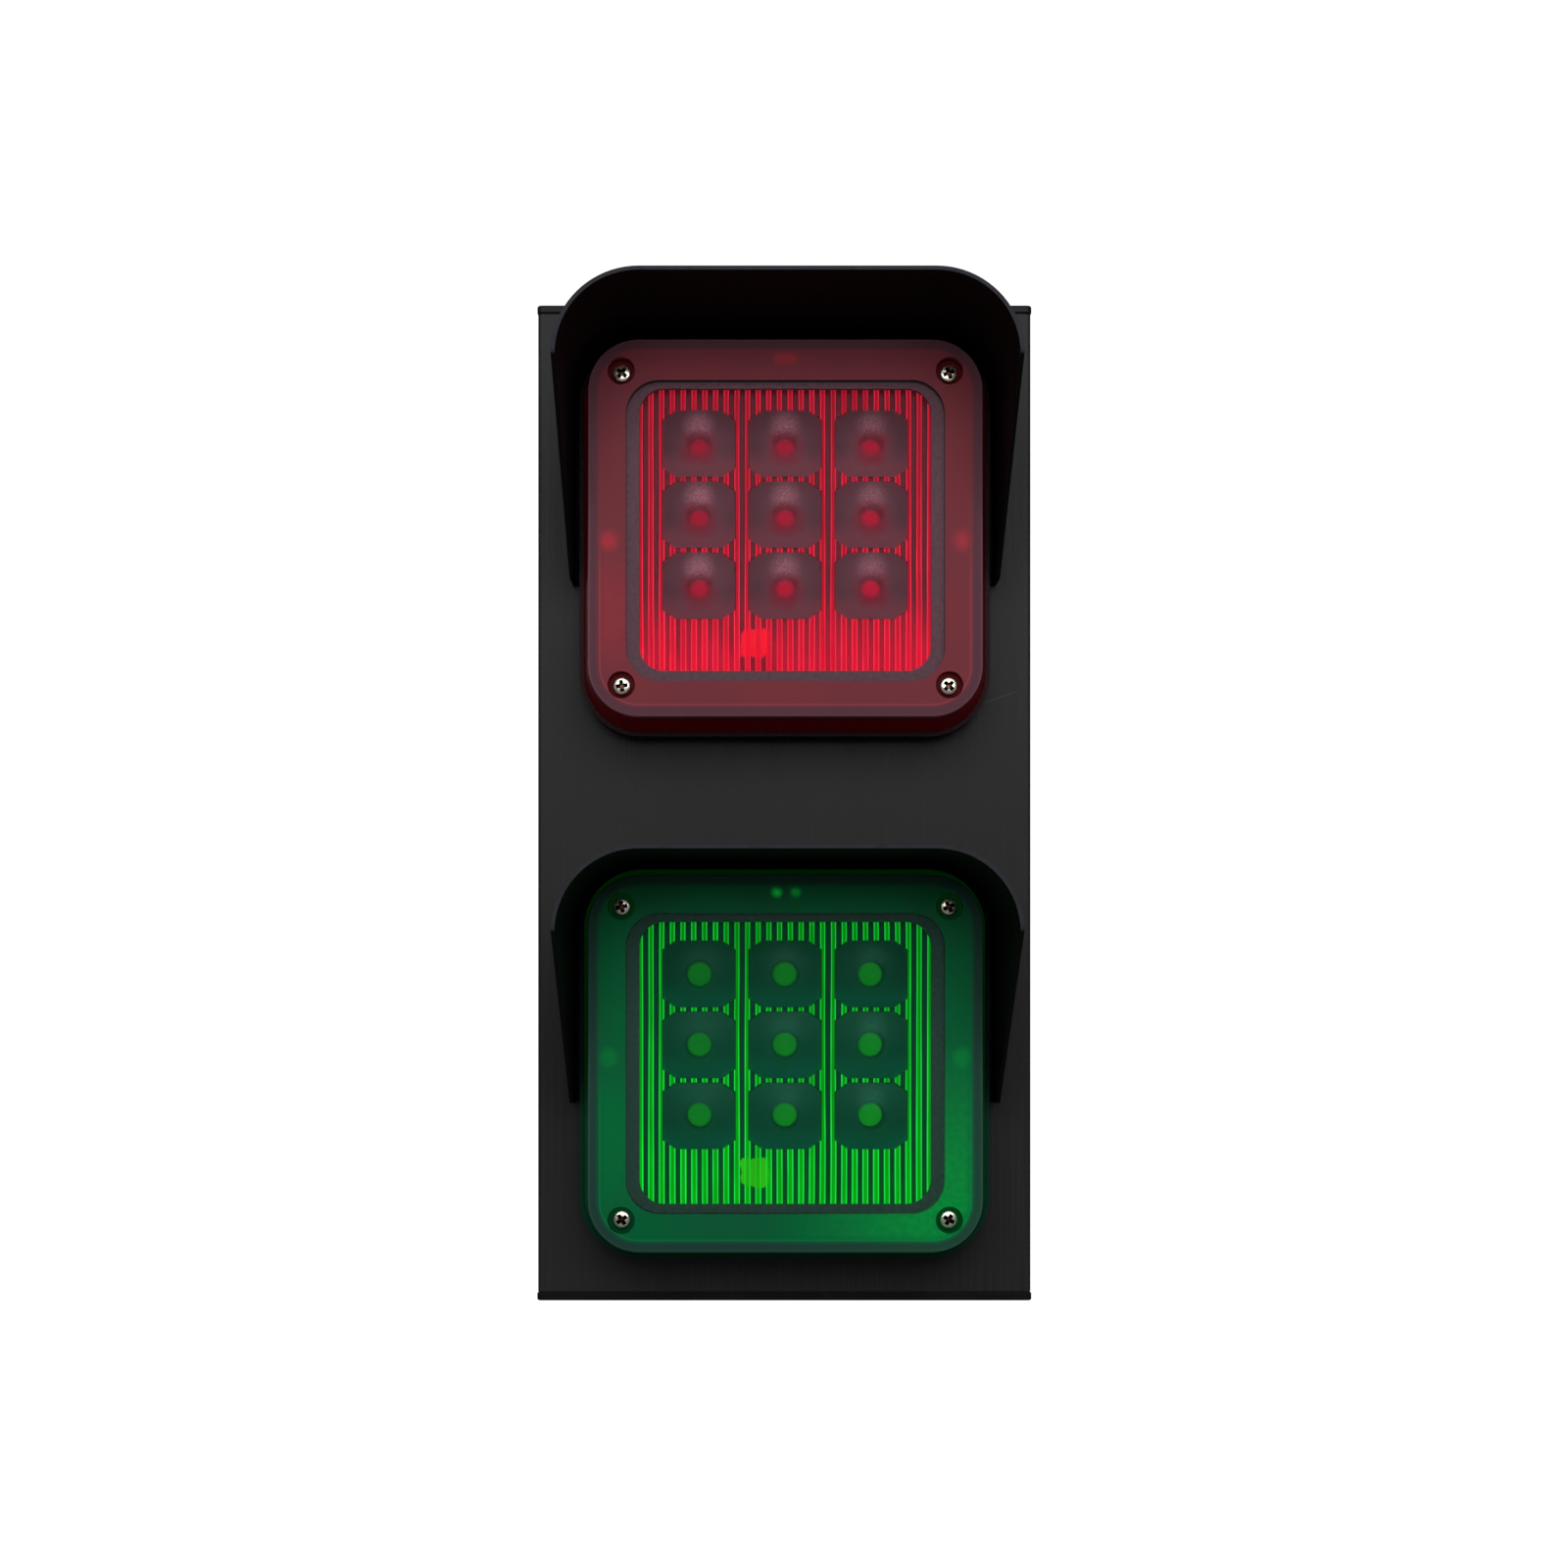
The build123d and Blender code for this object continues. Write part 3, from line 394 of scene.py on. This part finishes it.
def cover_tone(f, colour, tones, edge, cloud):
    """Cover colour with painted light and shade: grey rim, frosted margin, deep side wall, dark foot."""
    margin = f.blend(f.fade(cloud, 0.35, 0.75, 0.0, 0.22), tones["margin"], tones["rim"])
    tone = f.blend(f.fade(edge, -4.4 * MM, -2.0 * MM, 0.0, 0.9), margin, tones["rim"])
    # A thin line 3.3-4.1 mm inside the face's edge is painted lighter, more in the lower half: a painted
    # highlight.
    brighter = tuple(min(1.0, channel * 1.5) for channel in tones["margin"])
    inner = f.fade(edge, -4.1 * MM, -3.8 * MM)
    lit_line = f.maths("MULTIPLY", inner, f.fade(edge, -3.6 * MM, -3.3 * MM, 1.0, 0.0))
    lower = f.fade(from_centre(f, colour)[1], 0.0, -0.02, 0.15, 0.8)
    tone = f.blend(f.maths("MULTIPLY", lit_line, lower), tone, brighter)
    # A painted highlight along the very edge of the face.
    edge_highlight = tuple(min(1.0, channel * 1.5 + 0.01) for channel in tones["rim"])
    tone = f.blend(f.fade(edge, -0.7 * MM, -0.4 * MM), tone, edge_highlight)
    depth = depth_of(f)
    # The groove between the side wall and the front plate is painted black: painted shade.
    tone = f.blend(f.fade(depth, FACE_DEPTH - 0.1 * MM, FACE_DEPTH), (0.001, 0.001, 0.001), tone)
    tone = f.blend(f.fade(depth, GROOVE_DEPTH - 0.1 * MM, GROOVE_DEPTH), tones["wall"], tone)
    # The foot's outer edge is painted lighter, more in the lower half: painted light.
    lit_edge = f.maths("MULTIPLY", f.fade(edge, 2.2 * MM, 3.2 * MM), lower)
    foot = f.blend(lit_edge, tones["foot"], tones["lit_foot_edge"])
    return f.blend(f.fade(depth, FOOT_DEPTH - 0.1 * MM, FOOT_DEPTH + 0.1 * MM), foot, tone)


def tinted_cover(colour):
    """Tinted plastic: clear over the mask frame and ribs, frosted in its margin, deep in its side wall.

    A frosted plate passes its light on scattered. The margin is left out of shadows to stand in for that,
    or it would draw a black line round the mask frame.
    """
    f = Finish(f"{colour}_tinted_cover")
    tones = COVER_TONES[colour]
    frost = f.noise(1500.0, 5)
    window = beyond_outline(f, colour, FRAME_SIZE.x, FRAME_SIZE.z, FRAME_CORNER, WINDOW_DROP[colour])
    on_face = f.fade(depth_of(f), GROOVE_DEPTH - 0.2 * MM, GROOVE_DEPTH)
    above_foot = f.fade(depth_of(f), FOOT_DEPTH - 0.1 * MM, FOOT_DEPTH + 0.1 * MM)
    behind_face = f.maths("SUBTRACT", 1.0, on_face)
    margin = f.maths("MAXIMUM", f.fade(window, -0.7 * MM, -0.2 * MM), behind_face)
    edge = face_edge(f, colour)
    body = f.blend(margin, tones["haze"], cover_tone(f, colour, tones, edge, f.noise(40.0, 3)))
    glow = 0.0
    for x, z, core, reach, strength in LEAKS[colour]:
        light = f.maths("MULTIPLY", spot(f, colour, x * MM, z * MM, reach * MM, core * MM), strength)
        glow = f.maths("ADD", glow, light)
    glow = f.maths("MULTIPLY", glow, f.fade(f.noise(500.0, 3), 0.3, 0.7, 0.7, 1.1))
    inside_rim = f.fade(edge, -6.0 * MM, -2.2 * MM, 1.0, 0.1)
    shown = f.maths("MULTIPLY", f.maths("MULTIPLY", margin, on_face), inside_rim)
    glow = f.maths("MULTIPLY", glow, shown)
    in_wall = f.maths("MULTIPLY", behind_face, above_foot)
    glow = f.maths("ADD", glow, f.maths("MULTIPLY", in_wall, 0.03))
    roughness = f.fade(frost, 0.3, 0.7, 0.42, 0.55)
    plastic = f.surface(body, roughness, 0.0, 0.06, f.bump(frost, 0.12, 0.00003),
                        emission_color=tones["glow"], emission_strength=glow)
    clear = f.add("ShaderNodeBsdfTransparent", rgba(tones["tint"]))
    shading = f.maths("MULTIPLY", f.add("ShaderNodeLightPath").outputs["Is Shadow Ray"], on_face)
    opacity = f.fade(margin, 0.0, 1.0, 0.05, 0.94)
    f.mix(f.maths("MULTIPLY", opacity, f.maths("SUBTRACT", 1.0, shading)), clear, plastic)
    return f.material


RIB_TONES = {
    "red": {
        "base": (0.09, 0.03, 0.038),
        "rib": (0.06, 0.002, 0.006),
        "line": (0.98, 0.045, 0.085),
        "middle": (0.44, 0.0, 0.022),
        "low_middle": (0.72, 0.0, 0.030),
        "gap": (0.055, 0.0, 0.004),
        "low_gap": (0.48, 0.0, 0.024),
        "pilot": (0.95, 0.0, 0.02),
    },
    "green": {
        "base": (0.002, 0.055, 0.036),
        "rib": (0.0, 0.03, 0.0),
        "line": (0.02, 1.0, 0.10),
        "middle": (0.0, 0.38, 0.002),
        "low_middle": (0.0, 0.46, 0.003),
        "gap": (0.0, 0.028, 0.008),
        "low_gap": (0.0, 0.075, 0.012),
        "pilot": (0.045, 0.56, 0.0),
    },
}


def lit_ribs(colour):
    """Clear ribs that pipe light: a bright line down each flank, dimmer between, dark in the gaps."""
    f = Finish(f"{colour}_lit_ribs")
    tones = RIB_TONES[colour]
    across, height = from_centre(f, colour)
    wobble = f.maths("MULTIPLY", f.maths("SUBTRACT", f.noise(1.0, 1, (60, 60, 25)), 0.5), 0.12)
    phase = f.maths("ADD", f.maths("DIVIDE", across, RIB_PITCH), wobble)
    step = f.maths("FRACT", f.maths("ADD", phase, 100.0))
    aside = f.maths("ABSOLUTE", f.maths("SUBTRACT", step, 0.5))
    aside = f.maths("DIVIDE", aside, f.fade(height, 0.03, -0.04, 0.95, 1.12))
    line = f.maths("MULTIPLY", f.fade(aside, 0.12, 0.17), f.fade(aside, 0.23, 0.26, 1.0, 0.0))
    on_rib = f.fade(aside, 0.23, 0.26, 1.0, 0.0)
    lower = f.fade(height, -0.015, -0.045)
    flood = f.fade(f.noise(1.0, 3, (45, 45, 22)), 0.32, 0.54, 0.35, 1.0)
    gap = f.blend(f.maths("MULTIPLY", lower, flood), tones["gap"], tones["low_gap"])
    pilot_x, pilot_z = from_centre(f, colour, *PILOT)
    ragged = f.maths("MULTIPLY", f.noise(330.0, 3), 3.0 * MM)
    reach = f.maths("ADD", f.length(pilot_x, pilot_z, 4.0), ragged)
    patch = f.fade(reach, 5.6 * MM, 6.3 * MM, 0.9, 0.0)
    gap = f.blend(patch, gap, tones["pilot"])
    tone = f.blend(on_rib, gap, f.blend(lower, tones["middle"], tones["low_middle"]))
    faint = f.fade(f.noise(1.0, 2, (90, 90, 20)), 0.3, 0.55, 0.55, 1.0)
    tone = f.blend(f.maths("MULTIPLY", line, faint), tone, tones["line"])
    tone = f.blend(f.maths("MULTIPLY", patch, 0.65), tone, tones["pilot"])
    streak = f.noise(1.0, 2, (300, 300, 60))
    level = f.fade(height, 0.045, -0.03, 0.80, 1.12)
    level = f.maths("MULTIPLY", level, f.fade(streak, 0.25, 0.75, 0.85, 1.1))
    body = f.blend(f.maths("MAXIMUM", on_rib, lower), tones["base"], tones["rib"])
    f.surface(body, 0.35, 0.0, 0.1, f.bump(streak, 0.1, 0.0001),
              emission_color=tone, emission_strength=level)
    return f.material


# The crown tone is the colour of a painted highlight; the low tone paints each cell's lower part lighter.
LENS_TONES = {
    "red": {
        "dark": (0.130, 0.083, 0.095),
        "low": (0.235, 0.125, 0.142),
        "crown": (0.52, 0.37, 0.40),
        "dome": (0.72, 0.0, 0.15),
        "window": (0.085, 0.012, 0.022),
        "halo": (0.12, 0.0, 0.012),
        "clear": (1.0, 0.5, 0.55),
        "highlight_left": 1.0,
        "highlight_right": 0.75,
        "core": 2.0 * MM,
        "reach": 4.2 * MM,
    },
    "green": {
        "dark": (0.0, 0.130, 0.080),
        "low": (0.0, 0.190, 0.125),
        "crown": (0.12, 0.34, 0.26),
        "dome": (0.04, 0.48, 0.0),
        "window": (0.0, 0.115, 0.070),
        "halo": (0.0, 0.020, 0.004),
        "clear": (0.5, 1.0, 0.55),
        "highlight_left": 0.10,
        "highlight_right": 0.55,
        "core": 3.3 * MM,
        "reach": 4.2 * MM,
    },
}


def from_led_axis(f, colour, raised=0.0):
    """How far a point is across and up from the nearest LED's axis."""
    across, along = from_centre(f, colour, 0.0, LED_RAISED)
    offsets = []
    for distance, pitch in ((across, LED_PITCH_X), (along, LED_PITCH_Z)):
        step = f.maths("FRACT", f.maths("ADD", f.maths("DIVIDE", distance, pitch), 10.5))
        offsets.append(f.maths("MULTIPLY", f.maths("SUBTRACT", step, 0.5), pitch))
    return offsets[0], f.maths("SUBTRACT", offsets[1], raised)


def lens_block_glass(colour):
    """Smoked clear plastic showing the LED's dome; painted highlight on the crown, painted lighter low
    down.
    """
    f = Finish(f"{colour}_lens_glass")
    tones = LENS_TONES[colour]
    grit = f.noise(2500.0, 4)
    # A painted highlight: a whitish grainy patch above each LED's axis, where the crown would reflect the
    # lamp.
    crown_highlight = f.fade(f.length(*from_led_axis(f, colour, 5.6 * MM)), 0.5 * MM, 6.5 * MM, 1.0, 0.0)
    crown_highlight = f.maths("MULTIPLY", crown_highlight, f.fade(f.noise(1900.0, 4, roughness=0.7), 0.35, 0.65, 0.25, 1.0))
    side = f.fade(from_centre(f, colour)[0], -0.03, 0.03, tones["highlight_left"], tones["highlight_right"])
    lit = f.length(*from_led_axis(f, colour, -1.5 * MM), 2.4)
    lit = f.maths("ADD", lit, f.maths("MULTIPLY", f.noise(200.0, 3), 4.0 * MM))
    halo = f.fade(lit, 4.0 * MM, 9.5 * MM, 0.9, 0.0)
    # Each cell's lower part is painted lighter, against the shade its crown's downward side would get.
    below = f.fade(from_led_axis(f, colour)[1], -1.0 * MM, -8.5 * MM)
    tone = f.blend(below, tones["dark"], tones["low"])
    tone = f.blend(halo, tone, tones["window"])
    tone = f.blend(f.maths("MULTIPLY", crown_highlight, side), tone, tones["crown"])
    reach = f.length(*from_led_axis(f, colour))
    roughness = f.fade(grit, 0.3, 0.7, 0.36, 0.52)
    plastic = f.surface(tone, roughness, 0.0, 0.25, f.bump(grit, 0.35, 0.00006),
                        emission_color=tones["halo"], emission_strength=halo)
    clear = f.add("ShaderNodeBsdfTransparent", rgba(tones["clear"]))
    f.mix(f.fade(reach, tones["core"], tones["reach"] + 1.0 * MM, 0.42, 0.93), clear, plastic)
    return f.material


def lit_dome(colour):
    """An LED: a dark square package under a dome that is lit from inside."""
    f = Finish(f"{colour}_lit_dome")
    tones = LENS_TONES[colour]
    reach = f.length(*from_led_axis(f, colour))
    on_dome = f.maths("MULTIPLY", f.fade(reach, tones["core"], tones["reach"], 1.0, 0.0),
                      f.fade(depth_of(f), 10.0 * MM, 10.3 * MM))
    across, height = from_centre(f, colour)
    level = f.maths("MULTIPLY", on_dome, f.fade(across, -0.027, 0.027, 0.9, 1.15))
    level = f.maths("MULTIPLY", level, f.fade(height, 0.03, -0.02, 0.9, 1.3))
    f.surface(tones["dark"], 0.3, 0.0, 0.3, f.bump(f.noise(1200.0, 3), 0.1, 0.00005),
              emission_color=tones["dome"], emission_strength=level)
    return f.material


FINISHES = {
    "black_anodised": anodised_housing,
    "black_cap": lambda: satin_black("cap_black", (0.004, 0.0045, 0.0055), 0.42, specular=0.12),
    "black_rubber": lambda: satin_black("black_rubber", (0.006, 0.006, 0.006), 0.7, 1800.0, 0.00005, 0.25),
    "black_foam": lambda: satin_black("black_foam", (0.009, 0.0085, 0.0085), 0.85, 900.0, 0.0002, 0.15),
    "black_steel": lambda: satin_black("black_steel", (0.012, 0.012, 0.013), 0.35),
    "black_nylon": lambda: satin_black("black_nylon", (0.013, 0.0125, 0.0135), 0.5),
    "visor_paint": visor_coat,
    "grey_bezel": lambda: moulded("grey_bezel", (0.094, 0.092, 0.098), 0.5, 700.0),
    "circuit_board": lambda: board_mask("circuit_board", (0.015, 0.07, 0.03)),
    "led_circuit_board": lambda: board_mask("led_circuit_board", (0.55, 0.54, 0.5)),
    "transformer_steel": lambda: bare_metal("transformer_steel", (0.16, 0.14, 0.12), 0.5, (1, 8, 1)),
    "capacitor_sleeve": lambda: moulded("capacitor_sleeve", (0.02, 0.022, 0.035), 0.3),
    "terminal_plastic": lambda: moulded("terminal_plastic", (0.03, 0.16, 0.06), 0.45),
    "white_plastic": lambda: moulded("white_plastic", (0.62, 0.6, 0.54), 0.5),
    "white_nylon": lambda: moulded("white_nylon", (0.66, 0.64, 0.58), 0.45),
    "nickel_steel": plated_screw,
    "zinc_steel": lambda: bare_metal("zinc_steel", (0.50, 0.51, 0.53), 0.36),
    "bracket_paint": lambda: satin_black("bracket_paint", (0.014, 0.014, 0.0155), 0.5, 1500.0, 0.00008),
    "lead_sheath": lambda: satin_black("lead_sheath", (0.015, 0.015, 0.015), 0.5),
    "clear_silicone": lambda: moulded("clear_silicone", (0.4, 0.4, 0.38), 0.4),
}
for colour in COLOURS:
    FINISHES[f"{colour}_cover"] = lambda colour=colour: tinted_cover(colour)
    FINISHES[f"{colour}_optic"] = lambda colour=colour: lit_ribs(colour)
    FINISHES[f"{colour}_lens"] = lambda colour=colour: lens_block_glass(colour)
    FINISHES[f"{colour}_led"] = lambda colour=colour: lit_dome(colour)
MATERIALS = {slot: make() for slot, make in FINISHES.items()}


# ---- the object's own pieces ----
def round_edges(piece, width):
    """Smooth shading that stops at sharp edges, and a small bevel along those edges."""
    mesh = piece.data
    mesh.polygons.foreach_set("use_smooth", [True] * len(mesh.polygons))
    mesh.set_sharp_from_angle(angle=SMOOTH_ANGLE)
    rounding = piece.modifiers.new("rounding", "BEVEL")
    rounding.width = width
    rounding.segments = 2
    rounding.limit_method = "ANGLE"
    rounding.angle_limit = BEVEL_ANGLE


def finer_copy(node, slot, body, width):
    """A piece with a CAD node's shape, its sharp edges rounded off and its flat faces kept flat."""
    mesh = frame["nodes"][node].data.copy()
    shape = bmesh.new()
    shape.from_mesh(mesh)
    bmesh.ops.remove_doubles(shape, verts=shape.verts, dist=0.000002)
    flat = math.radians(1.0)
    bmesh.ops.dissolve_limit(shape, angle_limit=flat, verts=shape.verts, edges=shape.edges)
    shape.to_mesh(mesh)
    shape.free()
    mesh.materials.clear()
    mesh.materials.append(MATERIALS[slot])
    piece = bpy.data.objects.new(f"{node}_fine", mesh)
    bpy.context.scene.collection.objects.link(piece)
    round_edges(piece, width)
    shading = piece.modifiers.new("flat_faces", "WEIGHTED_NORMAL")
    shading.keep_sharp = True
    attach(piece, body)
    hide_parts(node)


SLOTS = {part["node"]: part["material_slot"] for part in frame["record"]["subparts"]}
BODY = {node: body for body, members in frame["record"]["behaviour"]["bodies"].items() for node in members}
for node, slot in SLOTS.items():
    holder = frame["nodes"][node]
    holder.data.materials.clear()
    holder.data.materials.append(MATERIALS[slot])

ROUNDED = {
    "housing_profile": 0.25, "top_cap": 0.3, "bottom_cap": 0.3,
    "red_visor": 0.22, "green_visor": 0.22, "red_base": 0.2, "green_base": 0.2,
    "wall_bracket": 0.4, "tilt_yoke": 0.4, "gland_body": 0.3, "gland_clamp_nut": 0.3,
    "pivot_bolts": 0.2, "pivot_washers": 0.15, "pivot_nuts": 0.2, "friction_washers": 0.1,
    "yoke_screws": 0.15,
}
for node, width in ROUNDED.items():
    finer_copy(node, SLOTS[node], BODY[node], width * MM)


def cross_cutter(shape, place, turn, span, width, top, bottom):
    """A tapered cross that cuts a screw's recess, pointing back along +Y."""
    for quarter in (0.0, math.pi / 2):
        rings = []
        for level, scale in ((top, 1.12), (bottom, 0.55)):
            corners = []
            for across, along in ((-1, -1), (1, -1), (1, 1), (-1, 1)):
                x, z = across * span / 2 * scale, along * width / 2 * scale
                angle = turn + quarter
                right = x * math.cos(angle) - z * math.sin(angle)
                up = x * math.sin(angle) + z * math.cos(angle)
                corners.append(shape.verts.new((place.x + right, place.y + level, place.z + up)))
            rings.append(corners)
        near, far = rings
        shape.faces.new(near)
        shape.faces.new(list(reversed(far)))
        for index in range(4):
            after = (index + 1) % 4
            shape.faces.new((near[after], near[index], far[index], far[after]))


def lathe(shape, place, profile, steps=48):
    """A closed solid turned about the line along Y through a place, from (radius, y) points."""
    rings = []
    for radius, y in profile:
        ring = []
        for step in range(steps):
            angle = 2 * math.pi * step / steps
            ring.append(shape.verts.new((place.x + radius * math.cos(angle), place.y + y,
                                         place.z + radius * math.sin(angle))))
        rings.append(ring)
    for ring, following in zip(rings, rings[1:]):
        for step in range(steps):
            after = (step + 1) % steps
            shape.faces.new((ring[step], ring[after], following[after], following[step]))
    shape.faces.new(rings[0])
    shape.faces.new(list(reversed(rings[-1])))


def mesh_object(name, shape):
    """An object made from a bmesh, with its faces turned outwards."""
    bmesh.ops.recalc_face_normals(shape, faces=shape.faces)
    mesh = bpy.data.meshes.new(name)
    shape.to_mesh(mesh)
    shape.free()
    piece = bpy.data.objects.new(name, mesh)
    bpy.context.scene.collection.objects.link(piece)
    return piece


SCREW_TURNS = {"red": (8, 52, 47, 20), "green": (35, 12, 60, 25)}


def cover_screw_set(colour):
    """Four pan-head screws with crowned heads and tapered cross recesses, each at its own angle."""
    low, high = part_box(f"{colour}_cover_screws")
    radius = SCREW_HEAD
    height = SCREW_HEIGHT
    seat = low[1] + height
    profile = [(0.12 * MM, -height)]
    for degrees in range(80, -1, -10):
        angle = math.radians(degrees)
        rise = 1.0 - CROWN_SHARE * (1.0 - math.sin(angle))
        profile.append((radius * math.cos(angle), -height * rise))
    profile += [(radius, 0.0), (SCREW_SHANK, 0.0), (SCREW_SHANK, high[1] - seat)]
    heads, cutters = bmesh.new(), bmesh.new()
    sides = (low[0] + radius, high[0] - radius)
    levels = (low[2] + radius, high[2] - radius)
    corners = [(x, z) for x in sides for z in levels]
    for (x, z), turn in zip(corners, SCREW_TURNS[colour]):
        place = Vector((x, seat, z))
        lathe(heads, place, profile)
        cross_cutter(cutters, place, math.radians(turn), RECESS_SPAN, RECESS_WIDTH,
                     -height - 0.3 * MM, -RECESS_FLOOR)
    piece = mesh_object(f"{colour}_cover_screw_set", heads)
    cutter = mesh_object(f"{colour}_cutter", cutters)
    cut = piece.modifiers.new("recess", "BOOLEAN")
    cut.operation = "DIFFERENCE"
    cut.solver = "EXACT"
    cut.use_self = True
    cut.object = cutter
    graph = bpy.context.evaluated_depsgraph_get()
    finished = bpy.data.meshes.new_from_object(piece.evaluated_get(graph))
    piece.modifiers.clear()
    piece.data = finished
    bpy.data.objects.remove(cutter)
    finished.materials.clear()
    finished.materials.append(MATERIALS["nickel_steel"])
    round_edges(piece, SCREW_ROUNDING)
    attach(piece, "light")
    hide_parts(f"{colour}_cover_screws")


for colour in COLOURS:
    cover_screw_set(colour)


# ---- stage, light and camera ----
FLOOR_SIZE = 12.0
FLOOR_DROP = 0.9
SKY_LOW = 0.10
SKY_HIGH = 0.36
BACKDROP = 1.1
CAMERA_DISTANCE = 0.728
CAMERA_SIDE = -0.0085
CAMERA_HEIGHT = -0.059


def stage_floor():
    """A pale floor well below the object, lit white where the camera sees it."""
    mesh = bpy.data.meshes.new("stage_floor")
    half = FLOOR_SIZE / 2
    level = cad_box[0][2] - FLOOR_DROP
    corners = [(x * half, y * half, level) for x, y in ((-1, -1), (1, -1), (1, 1), (-1, 1))]
    mesh.from_pydata(corners, [], [(0, 1, 2, 3)])
    floor = bpy.data.objects.new("stage_floor", mesh)
    bpy.context.scene.collection.objects.link(floor)
    f = Finish("stage_pale")
    seen = f.add("ShaderNodeLightPath").outputs["Is Camera Ray"]
    f.surface((0.5, 0.5, 0.5), 0.9, 0.0, 0.1, emission_color=(1.0, 1.0, 1.0), emission_strength=seen)
    mesh.materials.append(f.material)
    floor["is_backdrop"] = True


def studio_world():
    """White where the camera looks past the object; elsewhere a soft light, strong above and weak below."""
    world = bpy.data.worlds.new("studio")
    bpy.context.scene.world = world
    world.use_nodes = True
    tree = world.node_tree
    tree.nodes.clear()

    def new(kind):
        return tree.nodes.new(kind)

    output = new("ShaderNodeOutputWorld")
    seen = new("ShaderNodeBackground")
    seen.inputs["Color"].default_value = (1.0, 1.0, 1.0, 1.0)
    seen.inputs["Strength"].default_value = BACKDROP
    light = new("ShaderNodeBackground")
    light.inputs["Color"].default_value = (1.0, 1.0, 1.0, 1.0)
    height = new("ShaderNodeMapRange")
    height.interpolation_type = "SMOOTHSTEP"
    ramp = {"From Min": -0.2, "From Max": 0.6, "To Min": SKY_LOW, "To Max": SKY_HIGH}
    for key, value in ramp.items():
        height.inputs[key].default_value = value
    split = new("ShaderNodeSeparateXYZ")
    mix = new("ShaderNodeMixShader")
    join = tree.links.new
    join(new("ShaderNodeTexCoord").outputs["Generated"], split.inputs[0])
    join(split.outputs["Z"], height.inputs["Value"])
    join(height.outputs["Result"], light.inputs["Strength"])
    join(new("ShaderNodeLightPath").outputs["Is Camera Ray"], mix.inputs[0])
    join(light.outputs[0], mix.inputs[1])
    join(seen.outputs[0], mix.inputs[2])
    join(mix.outputs[0], output.inputs["Surface"])


def soft_light(name, place, target, size, power):
    """A rectangular area lamp at a place, turned to face a target."""
    data = bpy.data.lights.new(name, "AREA")
    data.shape = "RECTANGLE"
    data.size, data.size_y = size
    data.energy = power
    lamp = bpy.data.objects.new(name, data)
    bpy.context.scene.collection.objects.link(lamp)
    lamp.location = place
    lamp.rotation_euler = (Vector(target) - Vector(place)).to_track_quat("-Z", "Y").to_euler()


def camera():
    """A level view of the front from a little below and left of the middle, shifted to frame it."""
    data = bpy.data.cameras.new("view")
    data.sensor_width = 36.0
    data.lens = 51.5
    data.shift_x = 0.0165
    data.shift_y = 0.128
    view = bpy.data.objects.new("view", data)
    bpy.context.scene.collection.objects.link(view)
    view.location = (CAMERA_SIDE, FRONT_Y - CAMERA_DISTANCE, CAMERA_HEIGHT)
    view.rotation_euler = (math.radians(90), 0, 0)
    bpy.context.scene.camera = view


stage_floor()
studio_world()
soft_light("key", (0.03, -0.85, 0.32), (0, -0.1, 0.02), (0.8, 0.5), 4.5)
soft_light("rear", (-0.9, 1.2, 0.7), (0, 0, 0), (1.0, 1.0), 12)
camera()
bpy.context.scene.view_settings.view_transform = "Standard"

boxes = {"cad": cad_box, "visual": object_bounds()}
{name: [list(corner) for corner in box] for name, box in boxes.items()}
